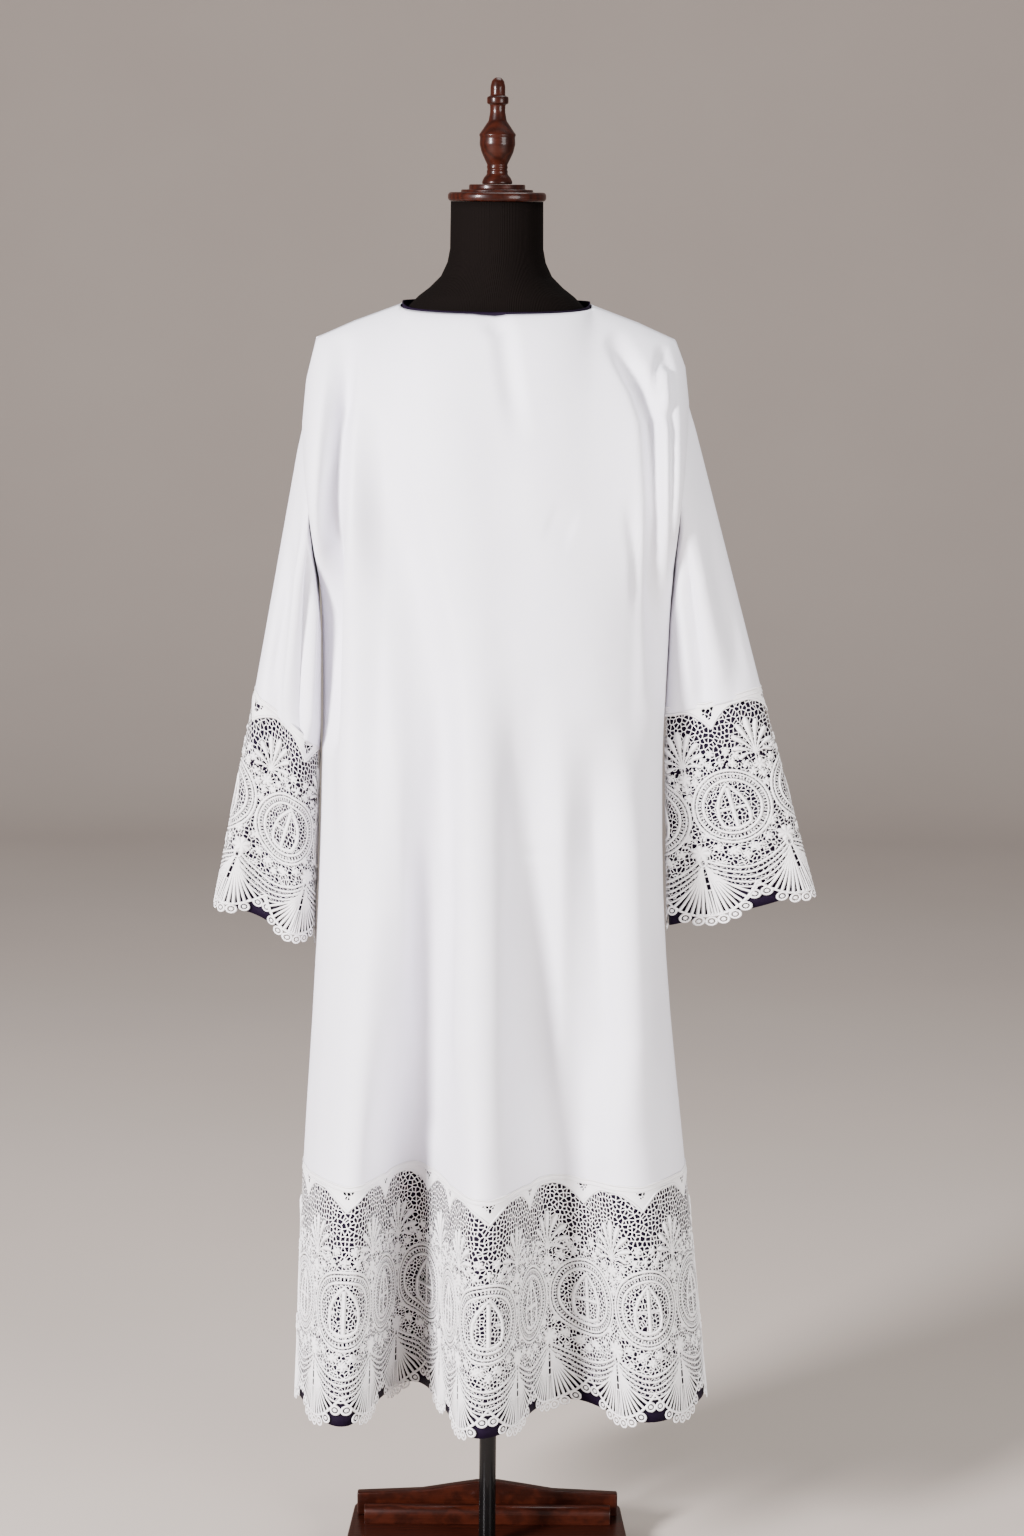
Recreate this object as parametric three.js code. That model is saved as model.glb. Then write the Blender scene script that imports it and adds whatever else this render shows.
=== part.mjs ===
import * as THREE from 'three';

// A lace-trimmed alb on a dress form stand, in millimetres. Z is up and the front faces -Y.
// The origin is on the floor, under the pole.

// Walls, and the gap between two pieces that meet at a seam
const CLOTH = 1.2;
const LACE = 1.0;
const LINING = 1.0;
const SEAM = 0.3;
const LACE_DROP = 1;
const LINING_GAP = 1.5;
const LINING_SEWN = 1.15;

// Heights on the body of the alb
const CHEST = 1240;
const HEM_LACE_TOP = 532;
const HEM_BOTTOM = 228;

// The lace, one repeat from the middle of a medallion to the middle of the next
const LINES = 7;
const FRONT_REPEATS = 10;
const BACK_REPEATS = 8;
const CUFF_REPEATS = 4;
const HEM_START = 3;
const CLOTH_LINES = [0, 2, 5];
const POINT_DEPTH = [30, 15.5, 0, 1, 1, 0, 15.5];
const LOBE_RISE = [33, 15, 4, 0, 0, 4, 15];
const SLOT_TOP = 66;
const SLOT_LOW = 26;
const LINING_BELOW_POINT = 36;
const LINING_ABOVE_EDGE = 20;

// The slots of one fan, a row for each line gap: half-width, top and foot as shares of its cell
const FAN_SLOTS = [
  { half: 0.16, top: 0.86, foot: 0.34, lean: -0.2 },
  { half: 0.14, top: 0.8, foot: 0.2, lean: -0.15 },
  { half: 0.13, top: 0.74, foot: 0.12, lean: -0.08 },
  { half: 0.17, top: 0.88, foot: 0.46, lean: 0 },
  { half: 0.13, top: 0.74, foot: 0.12, lean: 0.08 },
  { half: 0.14, top: 0.8, foot: 0.2, lean: 0.15 },
  { half: 0.16, top: 0.86, foot: 0.34, lean: 0.2 },
];

// The body's half-widths and depths at each height
const ROUNDNESS = 2.3;
const BODY = [
  { z: 1240, left: 207, right: 209, front: 118, back: 112 },
  { z: 1120, left: 204, right: 203, front: 122, back: 114 },
  { z: 1000, left: 205, right: 203, front: 124, back: 118 },
  { z: 860, left: 209, right: 206, front: 122, back: 122 },
  { z: 720, left: 216, right: 217, front: 116, back: 128 },
  { z: 540, left: 228, right: 238, front: 106, back: 130 },
  { z: 228, left: 239, right: 271, front: 108, back: 138 },
];

// The folds, each a soft ridge (out) or trough (in), with its depth at four heights.
// Their x and width are taken at the hem, where the body's half-width is FOLD_HALF.
const FOLDS = [
  { side: 'front', x: -186, width: 36, chest: -4, waist: 8, knee: 36, hem: 66 },
  { side: 'front', x: -94, width: 38, chest: 5, waist: -14, knee: -92, hem: -118 },
  { side: 'front', x: -10, width: 42, chest: 2, waist: 12, knee: 62, hem: 72 },
  { side: 'front', x: 84, width: 36, chest: -3, waist: -6, knee: -40, hem: -62 },
  { side: 'front', x: 184, width: 38, chest: 3, waist: 6, knee: 30, hem: 42 },
  { side: 'back', x: -160, width: 34, chest: 2, waist: 8, knee: 22, hem: 36 },
  { side: 'back', x: -84, width: 30, chest: -5, waist: -10, knee: -30, hem: -40 },
  { side: 'back', x: -6, width: 36, chest: 4, waist: 10, knee: 24, hem: 34 },
  { side: 'back', x: 78, width: 32, chest: -4, waist: -8, knee: -32, hem: -42 },
  { side: 'back', x: 168, width: 36, chest: 2, waist: 6, knee: 26, hem: 40 },
];
const FOLD_HALF = 242;
const FOLD_HEIGHTS = { top: 1530, chest: 1240, waist: 960, knee: 540, hem: 228 };

// The top edge of the body: the neckline, then the shoulder down to the sleeve's seam
const NECK_SHARE = 0.5;
const NECK_HALF = 112;
const NECK_FRONT = 70;
const NECK_BACK = 66;
const NECK_DIP = 4;
const NECK_POINT = 1568;
const SHOULDER_END = 1440;
const FACING = { gap: 0.4, rise: 5, depth: 9 };
const SHOULDER = [
  { share: 0, x: 112, z: 1568 },
  { share: 0.4, x: 166, z: 1548 },
  { share: 0.7, x: 211, z: 1528 },
  { share: 0.88, x: 223, z: 1488 },
  { share: 1, x: 228, z: SHOULDER_END },
];
const SEAM_DROP = { left: 14, right: -14 };
const ARMHOLE_DEPTH = 70;
const UNDERARM_CLEAR = 3;
const UPPER_ROWS = [0, 0.05, 0.14, 0.28, 0.47, 0.72, 1];
const LOWER_ROWS = [1240, 1120, 1000, 880, 750, 630];

// Each sleeve: its outer and inner side at the top of the cuff lace and at the lace's edge
const SLEEVES = {
  left: {
    top: { outX: 284, outZ: 1114, inX: 214, inZ: 1050, depth: 50 },
    edge: { outX: 336, outZ: 846, inX: 219, inZ: 800, depth: 44 },
    folds: [
      { turn: 1.35, width: 0.42, depth: -26 },
      { turn: 2.1, width: 0.4, depth: 12 },
      { turn: 4.4, width: 0.5, depth: -12 },
    ],
  },
  right: {
    top: { outX: 318, outZ: 1122, inX: 214, inZ: 1094, depth: 34 },
    edge: { outX: 391, outZ: 862, inX: 217, inZ: 814, depth: 27 },
    folds: [
      { turn: 2.2, width: 0.45, depth: -9 },
      { turn: 1.2, width: 0.5, depth: 5 },
      { turn: 4.9, width: 0.5, depth: -8 },
    ],
  },
};
const SLEEVE_ROWS = [0, 0.16, 0.36, 0.6, 0.8, 1];

// The dress form: half-widths and half-depths of its rings
const FORM = [
  { z: 1686.4, x: 54, y: 50 },
  { z: 1632, x: 54.5, y: 50 },
  { z: 1600, x: 64, y: 53 },
  { z: 1587, x: 75, y: 54 },
  { z: 1577, x: 86, y: 55 },
  { z: 1562, x: 98, y: 56 },
  { z: NECK_POINT - FACING.depth - 1.6, x: 108.5, y: 57 },
  { z: 1540, x: 130, y: 60 },
  { z: 1512, x: 160, y: 70 },
  { z: 1450, x: 178, y: 86 },
  { z: 1300, x: 168, y: 98 },
  { z: 1120, x: 132, y: 88 },
  { z: 980, x: 150, y: 86 },
  { z: 870, x: 152, y: 66 },
  { z: 820, x: 140, y: 56 },
];
const FORM_SIDES = 28;

// The stand
const POLE_RADIUS = 10.5;
const PLINTH_TOP = 30;
const TURNED_SIDES = 24;

const materials = {
  cloth: new THREE.MeshStandardMaterial({ color: 0xe9e7ef, roughness: 0.62, metalness: 0 }),
  lace: new THREE.MeshStandardMaterial({ color: 0xf4efe9, roughness: 0.7, metalness: 0 }),
  lining: new THREE.MeshStandardMaterial({ color: 0x24142e, roughness: 0.55, metalness: 0 }),
  jersey: new THREE.MeshStandardMaterial({ color: 0x15100e, roughness: 0.85, metalness: 0 }),
  wood: new THREE.MeshStandardMaterial({ color: 0x4a1b0e, roughness: 0.35, metalness: 0 }),
  pole: new THREE.MeshStandardMaterial({ color: 0x0d0c0c, roughness: 0.2, metalness: 0.2 }),
};

const group = new THREE.Group();

function add(name, geometry, material) {
  const mesh = new THREE.Mesh(geometry, material);
  mesh.name = name;
  group.add(mesh);
}

const mix = (a, b, share) => a + (b - a) * share;
const power = (value, exponent) => Math.sign(value) * Math.abs(value) ** exponent;
const bell = (t) => (Math.abs(t) < 2 ? 0.5 + 0.5 * Math.cos((t * Math.PI) / 2) : 0);

// Reads a table of named columns at a place along its key column
function read(table, key, at, column) {
  const rising = table[table.length - 1][key] > table[0][key];
  for (let i = 1; i < table.length; i += 1) {
    const low = table[i - 1];
    const high = table[i];
    const inside = rising ? at <= high[key] : at >= high[key];
    if (inside || i === table.length - 1) {
      const share = (at - low[key]) / (high[key] - low[key]);
      return mix(low[column], high[column], Math.min(1, Math.max(0, share)));
    }
  }
  return table[0][column];
}

// How far a fold stands out at height z
function foldDepth(fold, z) {
  const heights = [
    { z: FOLD_HEIGHTS.top, depth: 0 },
    { z: FOLD_HEIGHTS.chest, depth: fold.chest },
    { z: FOLD_HEIGHTS.waist, depth: fold.waist },
    { z: FOLD_HEIGHTS.knee, depth: fold.knee },
    { z: FOLD_HEIGHTS.hem, depth: fold.hem },
  ];
  return read(heights, 'z', z, 'depth');
}

// The folds' depth at a share of the body's half-width, so each follows the cloth as it widens
function foldsAt(share, z, side) {
  const x = share * FOLD_HALF;
  let out = 0;
  for (const fold of FOLDS) {
    if (fold.side === side) out += foldDepth(fold, z) * bell((x - fold.x) / fold.width);
  }
  return out;
}

// The body's surface below the chest. turn is 0 at the front, a quarter turn at the right seam.
function bodyPoint(turn, z) {
  const across = power(Math.sin(turn), 2 / ROUNDNESS);
  const along = power(Math.cos(turn), 2 / ROUNDNESS);
  const side = along >= 0 ? 'front' : 'back';
  const x = across * read(BODY, 'z', z, across < 0 ? 'left' : 'right');
  const fade = Math.min(1, Math.abs(along) * 2.2);
  const depth = Math.abs(along) * read(BODY, 'z', z, side) + fade * foldsAt(across, z, side);
  return new THREE.Vector3(x, side === 'front' ? -depth : depth, z);
}

// The body's top edge, from the middle of the neckline out to the sleeve's seam
function topEdge(share, side) {
  const reach = Math.abs(share);
  const hand = share < 0 ? 'left' : 'right';
  if (reach <= NECK_SHARE) {
    const x = NECK_HALF * Math.sin((reach / NECK_SHARE) * (Math.PI / 2));
    const drop = Math.cos((reach / NECK_SHARE) * (Math.PI / 2));
    const y = side === 'front' ? -NECK_FRONT * drop : NECK_BACK * drop;
    const z = NECK_POINT - (side === 'front' ? NECK_DIP : -NECK_DIP) * drop;
    return new THREE.Vector3(Math.sign(share) * x, y, z);
  }
  const out = (reach - NECK_SHARE) / (1 - NECK_SHARE);
  const seam = Math.max(0, (out - 0.7) / 0.3) * SEAM_DROP[hand];
  const x = read(SHOULDER, 'share', out, 'x');
  return new THREE.Vector3(Math.sign(share) * x, 0, read(SHOULDER, 'share', out, 'z') - seam);
}

// The body's surface between its top edge (row 0) and the chest (row 1)
function upperPoint(turn, row) {
  const share = power(Math.sin(turn), 2 / ROUNDNESS);
  const side = Math.cos(turn) >= 0 ? 'front' : 'back';
  const top = topEdge(share, side);
  const foot = bodyPoint(turn, CHEST);
  const arch = (1 - (1 - row) ** 4) ** 0.6;
  const round = Math.sin(Math.PI * row) ** 0.8 * ARMHOLE_DEPTH * Math.abs(share) ** 6;
  const out = side === 'front' ? -round : round;
  return new THREE.Vector3(
    mix(top.x, foot.x, row),
    mix(top.y, foot.y, arch) + out,
    mix(top.z, foot.z, row),
  );
}

// A point on a surface with the surface's outward normal, from points a small step away
function withNormal(surface, turn, row, rowStep) {
  const step = 0.004;
  const across = surface(turn + step, row).sub(surface(turn - step, row));
  const down = surface(turn, row + rowStep).sub(surface(turn, row));
  const normal = down.cross(across).normalize();
  return { point: surface(turn, row), normal };
}

// Turns the edge of a panel square to its seam, and moves it half a seam's gap away from it
function squareToSeam(entry, side) {
  entry.normal.y = 0;
  entry.normal.normalize();
  entry.point.y = side === 'front' ? -SEAM / 2 : SEAM / 2;
  return entry;
}

// Each line's turn around the hem, spaced evenly along the cloth at the height of the medallions
function evenTurns(start, end, count) {
  const height = mix(HEM_LACE_TOP, HEM_BOTTOM, 0.5);
  const fine = 1200;
  const lengths = [0];
  let last = bodyPoint(start, height);
  for (let i = 1; i <= fine; i += 1) {
    const here = bodyPoint(mix(start, end, i / fine), height);
    lengths.push(lengths[i - 1] + here.distanceTo(last));
    last = here;
  }
  const turns = [];
  let i = 0;
  for (let k = 0; k <= count; k += 1) {
    const wanted = (lengths[fine] * k) / count;
    while (i < fine - 1 && lengths[i + 1] < wanted) i += 1;
    const share = (wanted - lengths[i]) / (lengths[i + 1] - lengths[i]);
    turns.push(mix(start, end, (i + share) / fine));
  }
  return turns;
}

// Each panel's ends stop just short of a quarter turn, which keeps them on their own side
const SHORT = 1e-6;
const SIDES = {
  front: { start: -Math.PI / 2 + SHORT, end: Math.PI / 2 - SHORT, repeats: FRONT_REPEATS },
  back: { start: Math.PI / 2 + SHORT, end: (Math.PI * 3) / 2 - SHORT, repeats: BACK_REPEATS },
};
const turnsOf = {};
for (const [side, span] of Object.entries(SIDES)) {
  turnsOf[side] = evenTurns(span.start, span.end, span.repeats * LINES);
}

// Moves a row's points along their normals
function lift(row, distance) {
  row.forEach((entry) => entry.point.addScaledVector(entry.normal, distance));
  return row;
}

// A closed wall over a grid of points with normals, rows from top to bottom and columns rightwards.
// slot(row, column) may give the shape of a hole that is cut through that cell.
function wall(grid, outer, inner, wraps, slot) {
  const rows = grid.length;
  const columns = grid[0].length;
  const cells = wraps ? columns : columns - 1;
  const positions = [];
  const triangles = [];
  const offset = (entry, distance) => entry.point.clone().addScaledVector(entry.normal, distance);
  const put = (p) => positions.push(p.x, p.y, p.z) / 3 - 1;
  const face = (a, b, c, d) => triangles.push(a, b, c, a, c, d);
  const skin = [outer, inner].map((distance) =>
    grid.map((row) => row.map((entry) => put(offset(entry, distance)))));
  const [out, back] = skin;

  for (let j = 0; j < rows - 1; j += 1) {
    for (let i = 0; i < cells; i += 1) {
      const k = (i + 1) % columns;
      const hole = slot ? slot(j, i) : null;
      if (!hole) {
        face(out[j][i], out[j + 1][i], out[j + 1][k], out[j][k]);
        face(back[j][i], back[j][k], back[j + 1][k], back[j + 1][i]);
        continue;
      }
      const rims = [outer, inner].map((distance) => {
        const corners = [[j, i], [j + 1, i], [j + 1, k], [j, k]];
        const [a, b, c, d] = corners.map(([r, q]) => offset(grid[r][q], distance));
        return hole.map(([u, v]) => put(a.clone().lerp(d, u).lerp(b.clone().lerp(c, u), v)));
      });
      const frames = [[out[j][i], out[j + 1][i], out[j + 1][k], out[j][k]],
        [back[j][i], back[j + 1][i], back[j + 1][k], back[j][k]]];
      for (let s = 0; s < 4; s += 1) {
        const t = (s + 1) % 4;
        face(frames[0][s], frames[0][t], rims[0][t], rims[0][s]);
        face(frames[1][t], frames[1][s], rims[1][s], rims[1][t]);
        face(rims[0][s], rims[0][t], rims[1][t], rims[1][s]);
      }
    }
  }
  for (let i = 0; i < cells; i += 1) {
    const k = (i + 1) % columns;
    face(out[0][i], out[0][k], back[0][k], back[0][i]);
    face(out[rows - 1][k], out[rows - 1][i], back[rows - 1][i], back[rows - 1][k]);
  }
  if (!wraps) {
    for (let j = 0; j < rows - 1; j += 1) {
      face(out[j + 1][0], out[j][0], back[j][0], back[j + 1][0]);
      face(out[j][cells], out[j + 1][cells], back[j + 1][cells], back[j][cells]);
    }
  }
  const geometry = new THREE.BufferGeometry();
  geometry.setAttribute('position', new THREE.Float32BufferAttribute(positions, 3));
  geometry.setIndex(triangles);
  geometry.computeVertexNormals();
  return geometry;
}

// The place of a hem line in its repeat. Each side seam falls between a medallion and a fan.
const hemPhase = (line) => (line + HEM_START) % LINES;

// The height of the cloth's lower edge, which follows the points of the lace
const laceTopAt = (line) => HEM_LACE_TOP - POINT_DEPTH[hemPhase(line)];

// One row of a body panel or of the lace, at a height for each line
function bodyRow(side, lines, heightAt) {
  const turns = turnsOf[side];
  return lines.map((line) => {
    const entry = withNormal(bodyPoint, turns[line], heightAt(line), -3);
    const atSeam = line === 0 || line === turns.length - 1;
    return atSeam ? squareToSeam(entry, side) : entry;
  });
}

function clothLines(side) {
  const last = turnsOf[side].length - 1;
  const lines = turnsOf[side].map((turn, line) => line);
  return lines.filter((line) => line === 0 || line === last || CLOTH_LINES.includes(hemPhase(line)));
}

function bodyPanel(side) {
  const lines = clothLines(side);
  const grid = [];
  UPPER_ROWS.forEach((row) => {
    if (row === 1) return;
    grid.push(lines.map((line) => {
      const turn = turnsOf[side][line];
      const entry = withNormal(upperPoint, turn, row, 0.02);
      const share = Math.abs(power(Math.sin(turn), 2 / ROUNDNESS));
      const onShoulder = row === 0 && share > NECK_SHARE;
      return onShoulder ? squareToSeam(entry, side) : entry;
    }));
  });
  for (const z of LOWER_ROWS) grid.push(bodyRow(side, lines, () => z));
  grid.push(bodyRow(side, lines, laceTopAt));
  return grid;
}

// The lace of one half of the hem, and its fan slots
function hemLace(side) {
  const lines = turnsOf[side].map((turn, line) => line);
  return [
    bodyRow(side, lines, (line) => laceTopAt(line) - LACE_DROP),
    bodyRow(side, lines, () => HEM_BOTTOM + SLOT_TOP),
    bodyRow(side, lines, (line) => HEM_BOTTOM + SLOT_LOW + LOBE_RISE[hemPhase(line)] * 0.5),
    bodyRow(side, lines, (line) => HEM_BOTTOM + LOBE_RISE[hemPhase(line)]),
  ];
}

function fanSlot(row, column, start) {
  if (row !== 1) return null;
  const slot = FAN_SLOTS[(column + start) % LINES];
  const middle = 0.5;
  const head = middle + slot.lean / 2;
  const tail = middle - slot.lean / 2;
  const top = 1 - slot.top;
  const foot = 1 - slot.foot;
  return [
    [head - slot.half, top],
    [tail - slot.half, foot],
    [tail + slot.half, foot],
    [head + slot.half, top],
  ];
}

const hemSlot = (row, column) => fanSlot(row, column, HEM_START);
const cuffSlot = (row, column) => fanSlot(row, column, 0);

function hemLining() {
  const row = (z) => [
    ...turnsOf.front.slice(0, -1).map((turn) => withNormal(bodyPoint, turn, z, -3)),
    ...turnsOf.back.slice(0, -1).map((turn) => withNormal(bodyPoint, turn, z, -3)),
  ];
  return [lift(row(HEM_LACE_TOP - LINING_BELOW_POINT), LINING_SEWN), row(HEM_BOTTOM + LINING_ABOVE_EDGE)];
}

// The armhole's edge as the panels have it, from the shoulder round the front to the underarm
function armhole(hand, panels) {
  const column = (grid, last) => grid.slice(0, UPPER_ROWS.length)
    .map((row) => row[last ? row.length - 1 : 0]);
  const right = hand === 'right';
  const front = column(panels.front, right);
  const back = column(panels.back, !right);
  const ring = [...front, ...back.slice(1, -1).reverse()];
  return right ? ring.map((e, i) => ring[(ring.length - i) % ring.length]) : ring;
}

// Spreads a ring of points to a number of columns, by its length, keeping its own corners near
function spread(ring, count) {
  const lengths = [0];
  for (let i = 1; i <= ring.length; i += 1) {
    const step = ring[i % ring.length].point.distanceTo(ring[i - 1].point);
    lengths.push(lengths[i - 1] + step);
  }
  const total = lengths[ring.length];
  const columns = [];
  for (let k = 0; k < count; k += 1) {
    const wanted = (total * k) / count;
    let i = 0;
    while (lengths[i + 1] < wanted) i += 1;
    const share = (wanted - lengths[i]) / (lengths[i + 1] - lengths[i]);
    const from = ring[i];
    const to = ring[(i + 1) % ring.length];
    columns.push({
      point: from.point.clone().lerp(to.point, share),
      normal: from.normal.clone().lerp(to.normal, share).normalize(),
    });
  }
  return columns;
}

// A sleeve below its seam. drop is 0 at the top of the cuff lace and 1 at the lace's edge.
// turn is 0 at the outer side. It rises towards the front on the left sleeve, the back on the right.
function cuffPoint(hand, turn, drop) {
  const sleeve = SLEEVES[hand];
  const at = (column) => mix(sleeve.top[column], sleeve.edge[column], drop);
  const sign = hand === 'right' ? 1 : -1;
  const across = Math.cos(turn);
  const along = power(Math.sin(turn), 0.9);
  let depth = at('depth');
  for (const fold of sleeve.folds) {
    const frontTurn = hand === 'left' ? turn : (Math.PI * 2 - turn) % (Math.PI * 2);
    depth += fold.depth * mix(0.5, 1, drop) * bell((frontTurn - fold.turn) / fold.width);
  }
  const x = mix(at('inX'), at('outX'), (across + 1) / 2);
  const z = mix(at('inZ'), at('outZ'), (across + 1) / 2);
  const forward = hand === 'left' ? -1 : 1;
  return new THREE.Vector3(sign * x, forward * along * depth, z);
}

const CUFF_LINES = CUFF_REPEATS * LINES;

// Each line's turn around a cuff, evenly along the cloth
function cuffTurns(hand) {
  const fine = 720;
  const lengths = [0];
  let last = cuffPoint(hand, 0, 0.5);
  for (let i = 1; i <= fine; i += 1) {
    const here = cuffPoint(hand, (i / fine) * Math.PI * 2, 0.5);
    lengths.push(lengths[i - 1] + here.distanceTo(last));
    last = here;
  }
  const turns = [];
  for (let k = 0; k < CUFF_LINES; k += 1) {
    const wanted = (lengths[fine] * k) / CUFF_LINES;
    const i = Math.max(0, lengths.findIndex((length) => length > wanted) - 1);
    const share = (wanted - lengths[i]) / (lengths[i + 1] - lengths[i]);
    turns.push(((i + share) / fine) * Math.PI * 2);
  }
  return turns;
}

// A row of the cuff at a distance up from the lobes of the lace, as a share of the lace's height
function cuffRow(hand, turns, lines, heightAt) {
  const sleeve = SLEEVES[hand];
  const tall = sleeve.top.outZ - sleeve.edge.outZ;
  const surface = (turn, drop) => cuffPoint(hand, turn, drop);
  return lines.map((line) => {
    const drop = 1 - heightAt(line % CUFF_LINES) / tall;
    return withNormal(surface, turns[line % CUFF_LINES], drop, 0.01);
  });
}

// Draws both ends of a row in by half a seam's gap
function trimEnds(row) {
  for (const [end, beside] of [[row[0], row[1]], [row[row.length - 1], row[row.length - 2]]]) {
    const inward = beside.point.clone().sub(end.point).setLength(SEAM / 2);
    end.point.add(inward);
  }
}

// The place of a cuff line in its repeat. Each cuff has a medallion on its outer side.
const cuffLine = (line) => line % LINES;

const panels = { front: bodyPanel('front'), back: bodyPanel('back') };
const lining = { outer: -LACE - LINING_GAP, inner: -LACE - LINING_GAP - LINING };

for (const side of ['front', 'back']) {
  add(`alb_${side}`, wall(panels[side], 0, -CLOTH, false), materials.cloth);
  add(`hem_lace_${side}`, wall(hemLace(side), 0, -LACE, false, hemSlot), materials.lace);
}
add('hem_lining', wall(hemLining(), lining.outer, lining.inner, true), materials.lining);

for (const hand of ['left', 'right']) {
  const turns = cuffTurns(hand);
  const tall = SLEEVES[hand].top.outZ - SLEEVES[hand].edge.outZ;
  const lines = Array.from({ length: CUFF_LINES }, (_, line) => line);
  const seam = spread(armhole(hand, panels), CUFF_LINES);
  const clothEdge = cuffRow(hand, turns, lines, (line) => tall - POINT_DEPTH[cuffLine(line)]);
  const sleeve = SLEEVE_ROWS.map((row) => seam.map((entry, i) => {
    const foot = clothEdge[i];
    const along = foot.point.clone().sub(entry.point).normalize();
    const start = entry.point.clone().addScaledVector(along, SEAM * 2);
    const low = Math.max(0, (SHOULDER_END - entry.point.z) / (SHOULDER_END - CHEST));
    start.x += (hand === 'right' ? 1 : -1) * UNDERARM_CLEAR * low ** 3;
    return {
      point: start.lerp(foot.point, row),
      normal: entry.normal.clone().lerp(foot.normal, row).normalize(),
    };
  }));
  add(`sleeve_${hand}`, wall(sleeve, 0, -CLOTH, true), materials.cloth);

  const lacePiece = (from, to) => {
    const span = lines.slice(from, to).concat(to % CUFF_LINES);
    const piece = [
      cuffRow(hand, turns, span, (line) => tall - POINT_DEPTH[cuffLine(line)] - LACE_DROP),
      cuffRow(hand, turns, span, () => SLOT_TOP),
      cuffRow(hand, turns, span, (line) => SLOT_LOW + LOBE_RISE[cuffLine(line)] * 0.5),
      cuffRow(hand, turns, span, (line) => LOBE_RISE[cuffLine(line)]),
    ];
    piece.forEach(trimEnds);
    return piece;
  };
  const half = CUFF_LINES / 2;
  const first = hand === 'left' ? 'front' : 'back';
  const second = hand === 'left' ? 'back' : 'front';
  add(`cuff_lace_${hand}_${first}`, wall(lacePiece(0, half), 0, -LACE, false, cuffSlot), materials.lace);
  add(`cuff_lace_${hand}_${second}`,
    wall(lacePiece(half, CUFF_LINES), 0, -LACE, false, cuffSlot), materials.lace);
  const cuffLining = [
    cuffRow(hand, turns, lines, () => tall - LINING_BELOW_POINT),
    cuffRow(hand, turns, lines, () => LINING_ABOVE_EDGE),
  ];
  add(`cuff_lining_${hand}`, wall(cuffLining, lining.outer, lining.inner, true), materials.lining);
}

// The facing inside the neckline, made from the panels' neckline points, moved in.
// It stands a little above the cloth's edge, and its foot rests on the form beside the neck.
function neckFacing() {
  const neckline = [...panels.front[0], ...panels.back[0]].filter((entry) => {
    const reach = Math.abs(entry.point.x);
    return reach < NECK_HALF && Math.abs(entry.point.y) > 1;
  });
  const inward = CLOTH + FACING.gap;
  const ring = (height) => neckline.map((entry) => {
    const normal = new THREE.Vector3(entry.point.x / NECK_HALF, entry.point.y / NECK_FRONT, 0).normalize();
    const point = entry.point.clone().addScaledVector(normal, -inward);
    point.z += height;
    return { point, normal };
  });
  return wall([ring(FACING.rise), ring(-FACING.depth)], 0, -CLOTH, true);
}
add('neck_facing', neckFacing(), materials.lining);

// A closed solid through rings of points, with a fan of triangles at each end
function rings(table, sides, roundness) {
  const positions = [];
  const triangles = [];
  for (const ring of table) {
    for (let i = 0; i < sides; i += 1) {
      const turn = (i / sides) * Math.PI * 2;
      positions.push(ring.x * power(Math.sin(turn), 2 / roundness));
      positions.push(-ring.y * power(Math.cos(turn), 2 / roundness), ring.z);
    }
  }
  const last = table.length - 1;
  positions.push(0, 0, table[0].z, 0, 0, table[last].z);
  const top = table.length * sides;
  for (let i = 0; i < sides; i += 1) {
    const k = (i + 1) % sides;
    for (let j = 0; j < last; j += 1) {
      const a = j * sides;
      const b = a + sides;
      triangles.push(a + i, b + i, b + k, a + i, b + k, a + k);
    }
    triangles.push(top, i, k, top + 1, last * sides + k, last * sides + i);
  }
  const geometry = new THREE.BufferGeometry();
  geometry.setAttribute('position', new THREE.Float32BufferAttribute(positions, 3));
  geometry.setIndex(triangles);
  geometry.computeVertexNormals();
  return geometry;
}
add('form_torso', rings(FORM, FORM_SIDES, 2), materials.jersey);

// Turned pieces: profiles of radius and height, from the axis at the foot to the axis at the top
function turned(profile, sides) {
  const points = profile.map(([radius, height]) => new THREE.Vector2(radius, height));
  const geometry = new THREE.LatheGeometry(points, sides);
  geometry.rotateX(Math.PI / 2);
  return geometry;
}

const CAP = [[0, 1686.7], [55, 1686.7], [57.4, 1689], [57.4, 1694.5], [55, 1697], [42, 1697],
  [42, 1700], [32.8, 1700.2], [32.8, 1706], [0, 1706]];
const FINIAL = [[0, 1706.3], [17.4, 1706.3], [17.8, 1709], [15.5, 1714], [12, 1718], [12.4, 1721],
  [11.4, 1723.2], [12.4, 1725.5], [11.6, 1728.4], [14.5, 1734], [18.6, 1743], [20.8, 1752],
  [20.4, 1760], [21.6, 1763], [18, 1768], [10.5, 1779], [8.8, 1789], [8.9, 1797], [12.5, 1798.5],
  [12.5, 1806], [8.6, 1807.5], [8.6, 1818], [7, 1824.5], [3.4, 1828], [0, 1828.6]];
add('neck_cap', turned(CAP, TURNED_SIDES), materials.wood);
add('finial', turned(FINIAL, TURNED_SIDES), materials.wood);

const FORM_FOOT = FORM[FORM.length - 1].z;
add('pole', turned([[0, PLINTH_TOP + SEAM], [POLE_RADIUS, PLINTH_TOP + SEAM],
  [POLE_RADIUS, FORM_FOOT - SEAM], [0, FORM_FOOT - SEAM]], TURNED_SIDES), materials.pole);

const COLLAR = { bore: POLE_RADIUS + SEAM, radius: 26, neck: 20, foot: PLINTH_TOP + SEAM, edge: 33, top: 38 };
add('pole_collar', turned([[COLLAR.bore, COLLAR.foot], [COLLAR.radius, COLLAR.foot],
  [COLLAR.radius, COLLAR.edge], [COLLAR.neck, COLLAR.top], [COLLAR.bore, COLLAR.top],
  [COLLAR.bore, COLLAR.foot]], TURNED_SIDES), materials.pole);

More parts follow.
